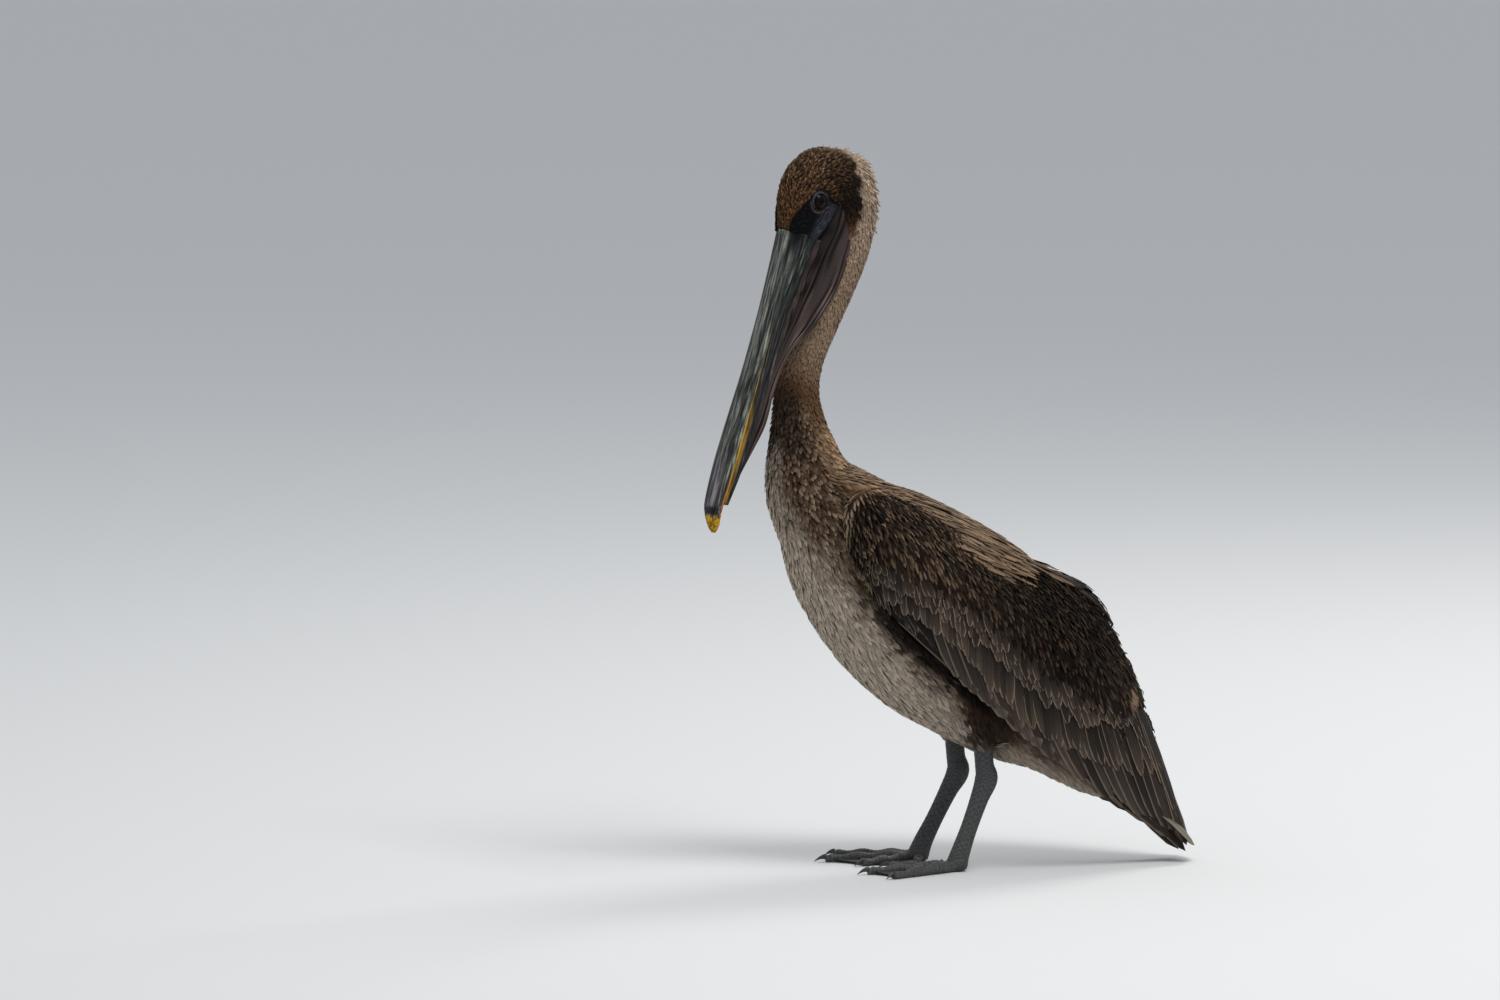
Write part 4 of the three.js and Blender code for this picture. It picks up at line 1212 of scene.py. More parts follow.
for leg_name, (leg_side, ankle, root) in LEGS.items():
    for toe_name, toe in zip(TOE_NAMES, TOES):
        points, faces = claw_net(toe, leg_side, root)
        name = f"{leg_name}_{toe_name}"
        dress(mesh_object(f"claw_horn_{name}", points, faces), "claw", [f"claw_{name}"], claw_paint.material)

# %% [markdown]
# ## Feathers as solid vanes
# A feather is a flat vane that rises to a shaft along its middle. Each one here is a thin closed form: a
# point for the quill, a few rings of three points (two edges and the shaft) and a point for the tip.
# Particle hair would be quicker to make, but it isn't mesh. Every feather knows its place across and along
# the vane, which the material reads for edges and shafts, and has its own small patch on a map of the skin.


# %% Many feathers as one net
def vane_net(spines, normals, half, shares, camber, roll):
    """Points (n, points of a feather, 3) and triangles of feathers.

    spines and normals run from quill to tip. half is each one's half width, and shares how much of it each
    ring between the ends has. camber is how far the shaft stands above the edges, and roll how far it leans.
    """
    count, stops = spines.shape[:2]
    rings = stops - 2
    way = unit(spines[:, 2:] - spines[:, :-2])
    up = unit(normals[:, 1:-1])
    out = unit(np.cross(up, way))
    out = out * np.cos(roll)[:, None, None] + up * np.sin(roll)[:, None, None]
    width = out * (half[:, None] * shares)[..., None]
    low = spines[:, 1:-1] - up * camber[:, None, None] * 0.5
    ring = np.stack([low + width, spines[:, 1:-1] + up * camber[:, None, None] * 0.5, low - width], 2)
    points = np.concatenate([spines[:, :1], ring.reshape(count, rings * 3, 3), spines[:, -1:]], 1)
    faces = [(0, 2, 1), (0, 3, 2), (0, 1, 3)]
    for j in range(rings - 1):
        a, b = 1 + 3 * j, 4 + 3 * j
        for p, q in ((1, 0), (2, 1), (0, 2)):
            faces += [(a + p, b + p, b + q), (a + p, b + q, a + q)]
    a, tip = 1 + 3 * (rings - 1), 1 + 3 * rings
    faces += [(a + 1, tip, a), (a + 2, tip, a + 1), (a, tip, a + 2)]
    size = 2 + 3 * rings
    faces = (np.array(faces)[None] + np.arange(count)[:, None, None] * size).reshape(-1, 3)
    return points, faces


PATCH = 0.003  # the size of a feather's own patch on the map


def plumes(
    name, slot, paint, spines, normals, half, stops, shares, camber, roll, colours, unwrap, replaced=()
):
    """One piece of many feathers. colours is (n, points, 3), and unwrap (n, 2) places each root on the map."""
    points, faces = vane_net(spines, normals, half, np.asarray(shares, float), camber, roll)
    count, size = points.shape[:2]
    colours = {"tint": colours.reshape(-1, 3)}
    piece = mesh_object(name, points.reshape(-1, 3), faces, colours, rounded=False)
    across = np.concatenate([[0], np.tile([-1, 0, 1], len(stops) - 2), [0]])
    run = np.concatenate([[0], np.repeat(stops[1:-1], 3), [1]])
    own = np.random.default_rng(len(name)).random(count)
    alike = np.tile(across, (count, 1)), np.tile(run, (count, 1))
    store_vectors(piece, "vane", np.stack([*alike, np.repeat(own[:, None], size, 1)], -1))
    patch = unwrap[:, None] + np.stack([across * 0.5, run - 0.5], -1)[None] * PATCH
    layer = piece.data.uv_layers.new(name="OFBake")
    layer.data.foreach_set("uv", patch.reshape(-1, 2)[faces.ravel()].astype(np.float32).ravel())
    return dress(piece, slot, replaced, paint.material)


def vane_shades(quill, rings, tip, edges=None):
    """How light a feather is from quill to tip, the same for all: painted shade near the quill, where other
    feathers cover it. rings are its shaft's, edges its edges'.
    """
    edges = rings if edges is None else edges
    return np.concatenate([[quill], np.stack([edges, rings, edges], -1).ravel(), [tip]])[None, :, None]


# %% [markdown]
# ## Where feathers grow and how they lie
# Roots are strewn over the skin at random and thinned until none stands too near another, which gives the
# even but unruled spacing of real plumage. Every feather lies away from the bill, down the neck and body.
# It is laid point by point along the skin, rising from its root to the coat's full depth, so that its tip
# covers the next.

# %% Which form each face of the flesh belongs to
def point_normals(points, faces):
    a, b, c = (points[faces[:, k]] for k in range(3))
    flat = np.cross(b - a, c - a)
    total = np.zeros_like(points)
    for k in range(3):
        np.add.at(total, faces[:, k], flat)
    return unit(total)


flesh_normals = point_normals(flesh_points, flesh_faces)
whole, starts = joined(flesh), np.cumsum([0] + [len(f) for _, f in flesh])
first_forms = BVHTree.FromPolygons(whole[0].tolist(), whole[1].tolist())
BODY, SKULL_PART, WING_L, WING_R, THIGH_L, THIGH_R = range(6)
centres = flesh_points[flesh_faces].mean(1)
nearest_face = np.array([first_forms.find_nearest(q)[2] for q in centres.tolist()])
flesh_part = np.searchsorted(starts, nearest_face, side="right") - 1
face_at = nearest_share(centres)
print("faces of body, skull, wings and thighs:", np.bincount(flesh_part).tolist())

# %% Strew and thin the roots
TRIES = 4.5  # roots thrown for every one that there is room for


def strew(seed, chosen, spacing):
    """Roots and normals on the chosen faces of the flesh. spacing is a number for each face of the flesh."""
    rng = np.random.default_rng(seed)
    tri = flesh_faces[chosen]
    a, b, c = (flesh_points[tri[:, k]] for k in range(3))
    area = np.linalg.norm(np.cross(b - a, c - a), axis=-1) / 2
    apart = spacing[chosen]
    wish = area / apart**2 * TRIES
    count = np.floor(wish + rng.random(len(wish))).astype(int)
    pick = np.repeat(np.arange(len(tri)), count)
    rng.shuffle(pick)
    u, v = rng.random((2, len(pick)))
    flip = u + v > 1
    u, v = np.where(flip, 1 - u, u)[:, None], np.where(flip, 1 - v, v)[:, None]
    roots = a[pick] * (1 - u - v) + b[pick] * u + c[pick] * v
    corner = flesh_normals[tri[pick]]
    ways = unit(corner[:, 0] * (1 - u - v) + corner[:, 1] * u + corner[:, 2] * v)
    tree = KDTree(len(roots))
    for k, q in enumerate(roots.tolist()):
        tree.insert(q, k)
    tree.balance()
    free, kept = np.ones(len(roots), bool), []
    gap = apart[pick].tolist()
    for k, q in enumerate(roots.tolist()):
        if free[k]:
            kept.append(k)
            free[[found[1] for found in tree.find_range(q, gap[k])]] = False
    return roots[kept], ways[kept]


# %% Lay feathers along the skin
def flattened(way, normal):
    return unit(way - (way * normal).sum(-1, keepdims=True) * normal)


def leaned(way, normal, angle):
    """Ways turned round their normals."""
    return way * np.cos(angle)[:, None] + np.cross(normal, way) * np.sin(angle)[:, None]


def lay(roots, normals, ways, length, stops, height):
    """Spines and normals of feathers: each stop is found on the skin and lifted by height(stop) from it."""
    spines, ups = [roots + normals * height(0.0)[:, None]], [normals]
    for stop in stops[1:]:
        spot, up = on_surface(roots + ways * (length * stop)[:, None])
        up = unit(up + normals * 0.5)
        spines.append(spot + up * height(stop)[:, None])
        ups.append(up)
    return np.stack(spines, 1), np.stack(ups, 1)


# %% The lie of the coat on body and head
SWIRL = np.array([-20.0, 0.0, -60.0])  # the head's feathers turn round this point, from bill to nape


def body_flow(p, at):
    _, ahead, _, _ = rib_frame(at)
    down = smooth(225, 190, p[:, 2]) * smooth(-20, -50, p[:, 0]) * smooth(-130, -100, p[:, 0])
    return -ahead + np.array([0, 0, -1.0]) * down[:, None]


def head_flow(h):
    r = h - SWIRL
    return np.stack([-r[:, 2], np.zeros(len(r)), r[:, 0]], -1) @ HEAD_TURN.T


# %% A finish for small feathers
feather_paint = Paint("small_feathers", Roughness=0.85, Specular_IOR_Level=0.08)
tint, vane = feather_paint.stored("tint"), feather_paint.stored("vane", "Vector")
barbs = feather_paint.noise(feather_paint.stretched(vane, (9.0, 2.0, 90.0)), 1.0, 2.0)
feather_paint.feed(Base_Color=feather_paint.shaded(tint, barbs, 0.72, 1.22))

# %% [markdown]
# ## The small feathers of head, neck and body
# They are shortest on the face, like fur on the neck, rounded scales on the chest and long soft hair-like
# vanes on the belly. One set of curves along the spine gives their length, width and spacing, so that no
# tract ends in a line. They are parted into pieces of fewer than two hundred thousand triangles.

# %% Sizes along the spine
SIZES = {  # share of the spine from the tail: length, half width, spacing
    0.00: (16, 1.9, 2.6), 0.20: (22, 1.9, 2.35), 0.40: (19, 2.0, 2.3), 0.48: (13, 2.2, 2.4),
    0.55: (10, 1.8, 2.0), 0.64: (9, 1.3, 1.5), 1.00: (9, 1.2, 1.3),
}


def size_at(at, which):
    return np.interp(at, list(SIZES), [row[which] for row in SIZES.values()])


SOFT_STOPS, SOFT_SHARES = [0, 0.35, 0.78, 1], [0.8, 0.9]
RIPPLE = 3.8  # between the fine waves across the neck's coat
SCALE_EDGE, TUFT_TIP, CREST_TIP = linear(172, 150, 128), linear(172, 134, 96), linear(188, 166, 142)
SPINE_LENGTH = np.linalg.norm(np.diff(spine_points, axis=0), axis=-1).sum()


def soft_coat(name, seed, chosen, slot):
    rng = np.random.default_rng(seed)
    roots, normals = strew(seed, chosen, size_at(face_at, 2))
    at = nearest_share(roots)
    angle = body_angle(roots, at)
    count = len(roots)
    ways = flattened(body_flow(roots, at), normals)
    ways = leaned(ways, normals, rng.normal(0, 0.13, count))
    length = size_at(at, 0) * rng.uniform(0.8, 1.15, count)
    half = size_at(at, 1) * rng.uniform(0.8, 1.15, count)
    full = coat_depth(at) * rng.uniform(0.62, 0.95, count) - 0.6

    def rise(s):
        return full * (2 * s - s * s) - 0.4 * (1 - s)

    spines, ups = lay(roots, normals, ways, length, SOFT_STOPS, rise)
    ripple = np.sin(at * SPINE_LENGTH * TURN / RIPPLE + 2 * mottle(roots * 3)) * smooth(0.56, 0.66, at)
    pale = pale_share(roots, at, angle)
    streaky = smooth(0.62, 0.52, at) * (1 - 0.7 * pale) * smooth(-110, -60, roots[:, 0])
    streaky = streaky + 0.6 * smooth(0.80, 0.90, at)
    tone = rng.uniform(mix(0.82, 0.42, streaky), mix(1.16, 1.3, streaky))
    colour = coat_colour(roots, at, angle) * (tone + 0.12 * ripple)[:, None]
    scaled = smooth(0.62, 0.56, at) * smooth(0.30, 0.42, at) * smooth(0.9, 1.5, np.abs(angle))
    scaled = scaled * (1 - 0.75 * pale) * (1 - 0.7 * throat_share(at, angle))
    tip = mix(colour, SCALE_EDGE, scaled * rng.uniform(0, 1, count) ** 1.8 * 0.7)
    # Painted shade: each feather darkens towards its root, where the feathers over it cover it, and more so
    # among the chest's scaled feathers.
    root = colour * mix(0.8, 0.42, scaled)[:, None]
    shade = mix(0.95, 0.7, scaled)[:, None]
    rows = [root, *[colour * shade] * 3, *[mix(colour, tip, 0.6)] * 3, tip]
    unwrap = np.stack([angle / TURN + 0.5, at * 0.62], -1)
    return plumes(name, slot, feather_paint, spines, ups, half, SOFT_STOPS, SOFT_SHARES,
                  np.minimum(half * 0.3, 0.45), rng.normal(0, 0.16, count), np.stack(rows, 1), unwrap)


# %% Soft feathers where the mantle and the wings leave room
CLEFT = 14  # narrower clefts between trunk and wing grow nothing
on_body = (flesh_part == BODY) | (flesh_part >= THIGH_L)
centre_angle = np.abs(body_angle(centres, face_at))
above_wings = (below(SHOULDER_LINE, centres) < -1) & (centre_angle < 1.45)
mantle_part = (flesh_part == BODY) & ((centre_angle < 0.95) | above_wings) & (face_at < 0.50)
beside_wing = (flesh_part == BODY) & ~above_wings & (centres[:, 0] < 40)
beside_wing &= below(wing_edge_low, centres) < -6
tucked_in = np.zeros(len(flesh_faces), bool)
for k in np.flatnonzero(beside_wing):  # is it hidden behind the wing?
    x, y, z = centres[k].tolist()
    out = math.copysign(1, y)
    hit = surface.ray_cast((x, y + 2 * out, z), (0, out, 0))
    beside_wing[k], tucked_in[k] = hit[0] is None, hit[0] is not None and hit[3] < CLEFT
print("faces of the trunk that stand out through the wings:", int(beside_wing.sum()))
under_mantle = mantle_part & (face_at < 0.47) & ((centre_angle < 0.75) | above_wings)
soft = on_body & ~beside_wing & ~tucked_in & ~under_mantle
soft_coat("feathers_neck", 31, soft & (face_at >= 0.60), "plumage")
soft_coat("feathers_breast", 32, soft & (face_at < 0.60) & (face_at >= 0.40), "plumage")
soft_coat("feathers_belly", 33, soft & (face_at < 0.40), "belly")

# %% The short feathers of the head
CROWN_STOPS, CROWN_SHARES = [0, 0.4, 0.8, 1], [0.9, 0.8]


def head_degrees(h):
    """How far round the head points lie, in degrees from the crown."""
    form = skull_form(skull_share(h[:, 0]))
    top, bottom, half = form[:, 1], form[:, 2], form[:, 3]
    up = (h[:, 2] - (top + bottom) / 2) / ((top - bottom) / 2)
    return np.degrees(np.arctan2(np.abs(h[:, 1]) / half, up))


def crown_coat():
    rng = np.random.default_rng(41)
    roots, normals = strew(41, flesh_part == SKULL_PART, np.full(len(flesh_faces), 1.35))
    h = to_head(roots)
    covered = bare_depth(h[:, 0], head_degrees(h)) < -0.3
    roots, normals, h = (v[covered] for v in (roots, normals, h))
    count = len(roots)
    ways = leaned(flattened(head_flow(h), normals), normals, rng.normal(0, 0.25, count))
    back = smooth(-60, -85, h[:, 0])
    length = mix(5.6, 9, back) * rng.uniform(0.75, 1.25, count)
    half = mix(1.0, 1.15, back) * rng.uniform(0.8, 1.2, count)
    full = SKULL_DEPTH * rng.uniform(0.55, 1.05, count) + back * rng.uniform(0, 1.2, count)

    def rise(s):
        return full * (1.4 * s - 0.4 * s * s) - 0.3 * (1 - s)

    spines, ups = lay(roots, normals, ways, length, CROWN_STOPS, rise)
    colour = head_colour(h) * rng.uniform(0.45, 1.3, (count, 1))
    tip = mix(colour, TUFT_TIP, rng.uniform(0.0, 1.0, count) ** 2.4 * 0.75 * (1 - 0.55 * cap_share(h)))
    # Painted shade: each tuft is darker towards its root, where the tufts over it cover it.
    rows = [colour * 0.3, *[colour * 0.7] * 3, *[mix(colour, tip, 0.6)] * 3, tip]
    unwrap = np.stack([np.sign(h[:, 1]) * head_degrees(h) / 400 + 0.5, 0.66 + (h[:, 0] + 95) / 100 * 0.3], -1)
    return plumes("feathers_head", "crown", feather_paint, spines, ups, half, CROWN_STOPS, CROWN_SHARES,
                  half * 0.35, rng.normal(0, 0.35, count), np.stack(rows, 1), unwrap)


crown_coat()

# %% The ragged crest of the nape
CREST_STOPS = [0, 0.3, 0.6, 0.85, 1]


def nape_crest():
    """Tufts down the middle of the nape that stand out from the coat."""
    rng = np.random.default_rng(43)
    h = to_head(centres)
    on_neck = (flesh_part == BODY) & (np.abs(body_angle(centres, face_at)) < 0.8) & (face_at > 0.84)
    on_skull = (flesh_part == SKULL_PART) & (h[:, 0] < -74) & (np.abs(h[:, 1]) < 11) & (h[:, 2] < -36)
    roots, normals = strew(43, on_neck | on_skull, np.full(len(flesh_faces), 2.6))
    h, at = to_head(roots), nearest_share(roots)
    count = len(roots)
    flow = mix(body_flow(roots, at), head_flow(h), smooth(0.96, 1.0, at))
    ways = leaned(flattened(flow, normals), normals, rng.normal(0, 0.3, count))
    length = rng.uniform(7, 12, count)
    half = rng.uniform(0.8, 1.3, count)
    stands = rng.uniform(0.2, 1.0, count) ** 1.3 * 5.0
    spines, ups = lay(roots, normals, ways, length, CREST_STOPS, lambda s: 2.6 * s + stands * s * s)
    colour = mix(NAPE, CREST_TIP, rng.uniform(0, 0.6, count)) * rng.uniform(0.45, 1.15, (count, 1))
    shade = vane_shades(0.5, [0.7, 0.9, 1.0], 1.1)
    unwrap = np.stack([h[:, 1] / 200 + 0.5, at * 0.62], -1)
    return plumes("nape_crest", "crown", feather_paint, spines, ups, half, CREST_STOPS, [0.9, 1, 0.75],
                  half * 0.35, rng.normal(0, 0.4, count), colour[:, None] * shade, unwrap)


nape_crest()

# %% [markdown]
# ## The folded wings
# A folded wing shows its feathers in rows, like tiles: long primaries lowest and nearest the tail,
# secondaries over them, then the greater and median coverts, and many small lesser coverts over the wrist
# and arm. Each row is laid between two lines, one through its roots and one through its tips. The lines are
# drawn on the wing's outer face, looking at it from the side, and are given its depth by a ray cast at that
# face.

# %% The wing's outer face
face_shares = np.linspace(0, 1, 120)[:, None], np.linspace(0, 1, 40)[None, :]
outer_face = wing_point(*face_shares, 1)
wing_bvh = BVHTree.FromPolygons(outer_face.reshape(-1, 3).tolist(), net(120, 40, False).tolist())


def on_wing(xz):
    """Depth and outward direction of the left wing's outer face at places seen from the side."""
    p, n = np.empty((len(xz), 3)), np.empty((len(xz), 3))
    for k, (x, z) in enumerate(xz.tolist()):
        spot, way, _, _ = wing_bvh.ray_cast((x, 300, z), (0, -1, 0))
        if spot is None:
            spot, way, _, _ = wing_bvh.find_nearest((x, 30, z))
        p[k] = x, max(spot[1], 1.2), z
        n[k] = way if way[1] > 0 else -way
    return p, n


def wing_thickness(x):
    return np.interp(-x, [-70, 20, 190, 226, 262, 295], [0.5, 1, 1, 0.7, 0.4, 0.15])


def steepness(x):
    """How steeply the small wing feathers lie, in degrees below level, at a place along the wing."""
    return np.interp(x, [-290, -220, -150, -60, 40, 80], [68, 74, 80, 85, 80, 74])


def spread_along(line, count):
    """Points at even distances along a line of corners, rounded as a curve."""
    path = curve(line)(np.linspace(0, 1, 400))
    walked = np.concatenate([[0], np.cumsum(np.linalg.norm(np.diff(path, axis=0), axis=-1))])
    return np.stack([np.interp(np.linspace(0, walked[-1], count), walked, path[:, k]) for k in (0, 1)], -1)


# %% A finish for large feathers
SHAFT_BROWN = linear(20, 16, 13)


def large_feather_paint(name, edge_tone, edge_share, edge_strength, tip_strength):
    """Grey-brown vanes with a dark shaft, fine barbs and an edge in edge_tone: pale wear on quills and
    coverts, painted shade on the back's feathers.
    """
    paint = Paint(name, Roughness=0.66, Specular_IOR_Level=0.14)
    tint, vane = paint.stored("tint"), paint.stored("vane", "Vector")
    across, run, own = (paint.node("ShaderNodeSeparateXYZ", {}, {0: vane}, k) for k in range(3))
    side = paint.node("ShaderNodeMath", {"operation": "ABSOLUTE"}, {0: across})
    slant = {0: own * 40.0, 1: run * 34.0 - side * 6.0, 2: across * 1.5}
    slanted = paint.node("ShaderNodeCombineXYZ", {}, slant)
    barbs = paint.noise(slanted, 2.2, 2.0)
    clouds = paint.noise(slanted, 0.35, 2.0)
    wear_and_shade = paint.ramp(side + clouds * 0.16, edge_share, edge_share + 0.14)
    tip = paint.ramp(side + run * 1.5 + clouds * 0.25, 1.92, 2.3)
    shaft = paint.ramp(side, 0.10, 0.03)
    colour = paint.shaded(tint, barbs, 0.6, 1.38)
    colour = paint.mixed(wear_and_shade * edge_strength, colour, edge_tone)
    colour = paint.mixed(tip * tip_strength, colour, edge_tone)
    colour = paint.mixed(shaft * 0.6, colour, SHAFT_BROWN)
    paint.feed(Base_Color=colour, Roughness=0.55 + barbs * 0.25)
    paint.bumpy(barbs, 0.0004, 0.35)
    return paint


flight_paint = large_feather_paint("flight_feathers", linear(112, 100, 88), 0.84, 0.6, 0.45)
covert_paint = large_feather_paint("covert_feathers", linear(128, 112, 96), 0.84, 0.5, 0.7)

# %% Rows of large feathers
LONG_STOPS = [0, 0.12, 0.3, 0.5, 0.7, 0.86, 0.95, 1]
BROAD_TIP, NARROW_TIP = [0.55, 0.85, 1, 1, 0.92, 0.66], [0.6, 0.9, 1, 0.93, 0.72, 0.44]


def side_map(x, z, side):
    """Places on the skin's map for the wings: the left above the right."""
    return np.stack([x / 800 + 0.5, z / 800 + (0.5 if side > 0 else 0.02)], -1)


def wing_row(rng, roots, tips, half, depths, tone, side, bend=0.0, loose=1.5):
    """Feathers from roots to tips, ready to be joined with other rows."""
    count = len(tips)
    way = unit(tips - roots)
    aside = np.stack([way[:, 1], -way[:, 0]], -1)
    tips = tips + way * rng.normal(0, loose * 1.6, (count, 1))
    tips = tips + aside * rng.normal(0, loose * 0.6, (count, 1))
    arch = bend * np.linalg.norm(tips - roots, axis=-1, keepdims=True)
    spines, ups = [], []
    lifted = rng.uniform(-0.5, 0.3, count)
    for stop in LONG_STOPS:
        place = mix(roots, tips, np.full(count, stop)) + aside * arch * stop * (1 - stop)
        p, n = on_wing(place)
        sunk = mix(depths[0], depths[1], stop**0.7) * wing_thickness(place[:, 0]) - lifted * stop
        spines.append(p - n * sunk[:, None])
        ups.append(n)
    flip = np.array([1, side, 1])
    spines, ups = np.stack(spines, 1) * flip, np.stack(ups, 1) * flip
    x, z = tips.T
    colour = tone * rng.uniform(0.45, 1.45, (count, 1)) * mix(1.0, 0.8, smooth(-150, -230, x))[:, None]
    half = half * mix(0.62, 1.0, smooth(40, -35, x)) * rng.uniform(0.86, 1.14, count)
    shade = vane_shades(0.2, [0.22, 0.32, 0.5, 0.9, 1.3, 1.6], 1.8)
    return spines, ups, half, colour[:, None] * shade, side_map(x, z, side)


def row_between(rng, root_line, tip_line, count, *rest, **more):
    return wing_row(rng, spread_along(root_line, count), spread_along(tip_line, count), *rest, **more)


def wing_piece(name, slot, rows, shares, paint, side, replaced, camber=0.9):
    spines, ups, half, colours, unwrap = (np.concatenate(v) for v in zip(*rows))
    roll = np.random.default_rng(len(name)).normal(-0.10, 0.05, len(half)) * side
    return plumes(name, slot, paint, spines, ups, half, LONG_STOPS, shares, np.full(len(half), camber), roll,
                  colours, unwrap, replaced)


# Lines of x and z on the wing, from its front to its end.
PRIMARIES = (
    [(38, 274), (13, 255), (-7, 240), (-27, 226), (-48, 214), (-68, 204), (-89, 195), (-109, 187),
     (-130, 180)],
    [(-143, 120), (-181, 88), (-207, 69), (-229, 54), (-247, 42), (-262, 33), (-274, 25), (-284, 17),
     (-291, 8)],
)
SECONDARIES = (
    [(3, 318), (-16, 293), (-41, 267), (-67, 237), (-93, 221), (-116, 205), (-137, 189), (-162, 180),
     (-187, 176), (-209, 176), (-226, 178), (-238, 182)],
    [(-35, 206), (-62, 180), (-89, 155), (-113, 134), (-139, 115), (-167, 96), (-194, 78), (-221, 62),
     (-249, 46), (-270, 33), (-283, 23), (-290, 18)],
)
GREATER_TIPS = [(31, 279), (16, 267), (-6, 252), (-37, 229), (-74, 189), (-105, 158), (-136, 132),
                (-175, 111), (-215, 98), (-245, 92), (-266, 90)]
MEDIAN_TIPS = [(42, 294), (29, 288), (10, 278), (-21, 260), (-57, 236), (-83, 214), (-114, 185), (-146, 161),
               (-184, 145), (-218, 141), (-240, 147)]
TERTIALS = ([(-196, 236), (-206, 228), (-216, 216), (-226, 200), (-234, 186)],
            [(-240, 122), (-256, 96), (-268, 74), (-279, 52), (-287, 34)])
UNDER_COVERTS = ([(58, 322), (34, 294), (6, 268), (-26, 242), (-56, 218), (-84, 198)],
                 [(38, 270), (12, 248), (-16, 226), (-46, 204), (-78, 180), (-106, 158)])
GREY_QUILL, BROWN_QUILL, GREY_COVERT = linear(54, 46, 40), linear(34, 27, 22), linear(56, 47, 40)


def shorter_in_front(x):
    """Coverts grow shorter and narrower towards the wing's front."""
    return mix(1.0, 0.45, smooth(-35, 40, x))


def up_wing(line, step):
    """A line moved towards the wing's upper edge, against the lie of its feathers."""
    line = np.array(line, float)
    a = np.radians(steepness(line[:, 0]))
    return line + np.stack([np.cos(a), np.sin(a)], -1) * (step * shorter_in_front(line[:, 0]))[:, None]


# Each row: its lines, how many, half width, depths at root and tip, tone.
for side_name, side in SIDES.items():
    rng = np.random.default_rng(50 + side)
    flight = [
        row_between(rng, *PRIMARIES, 11, 8.5, (6, 3.4), BROWN_QUILL, side, bend=0.03),
        row_between(rng, *SECONDARIES, 26, 8.5, (5.4, 2.2), GREY_QUILL, side, bend=-0.03),
    ]
    wing_piece(f"flight_feathers_{side_name}", "quill", flight, BROAD_TIP, flight_paint, side,
               [f"wing_{side_name}_secondaries", f"wing_{side_name}_primaries"])
    longer = np.linspace(46, 78, len(GREATER_TIPS))
    greater = up_wing(GREATER_TIPS, longer), GREATER_TIPS
    median = up_wing(MEDIAN_TIPS, 44), MEDIAN_TIPS
    over_median = up_wing(MEDIAN_TIPS, 50), up_wing(MEDIAN_TIPS, 12)
    rows = [
        row_between(rng, *UNDER_COVERTS, 30, 3.4, (7, 4.6), BROWN_QUILL, side, bend=0.08, loose=2.5),
        row_between(rng, *TERTIALS, 9, 7, (4.8, 1.2), BROWN_QUILL, side, bend=0.05),
        row_between(rng, *greater, 52, 6.0, (4.8, 1.4), GREY_COVERT, side, loose=2.2),
        row_between(rng, *median, 58, 5.2, (4.6, 0.9), GREY_COVERT * 0.85, side, loose=2.4),
        row_between(rng, *over_median, 64, 4.4, (4.4, 0.7), GREY_COVERT * 0.7, side, loose=2.8),
    ]
    wing_piece(f"covert_rows_{side_name}", "wing", rows, NARROW_TIP, covert_paint, side,
               [f"wing_{side_name}_coverts"], 0.8)

# %% Lesser coverts
SMALL_STOPS, SMALL_SHARES = [0, 0.25, 0.55, 0.85, 1], [0.75, 1, 0.7]
DASH, RIM_TAN, ELBOW_TAN = linear(132, 110, 88), linear(166, 144, 120), linear(146, 124, 104)
ELBOW_AT = (-226, 180)  # a few pale feathers show here
FRONT_RIM = [(37, 280), (59, 306), (69, 321), (73, 337), (71, 357), (64, 378), (48, 392)]
top_rim = wing_top(np.linspace(0, 0.8, 160))[:, [0, 2]]
rim_line = np.concatenate([curve(FRONT_RIM)(np.linspace(0, 1, 60)), top_rim])


def past_medians(xz):
    """How far up the wing each place lies from the tips of the median coverts, and how far off their line."""
    line = curve(MEDIAN_TIPS)(np.linspace(0, 1, 200))
    a = np.radians(steepness(xz[:, 0]))
    way, across = np.stack([-np.cos(a), -np.sin(a)], -1), np.stack([-np.sin(a), np.cos(a)], -1)
    apart = line[None] - xz[:, None]
    off = np.abs((apart * across[:, None]).sum(-1))
    return (apart * way[:, None]).sum(-1)[np.arange(len(xz)), off.argmin(1)], off.min(1)


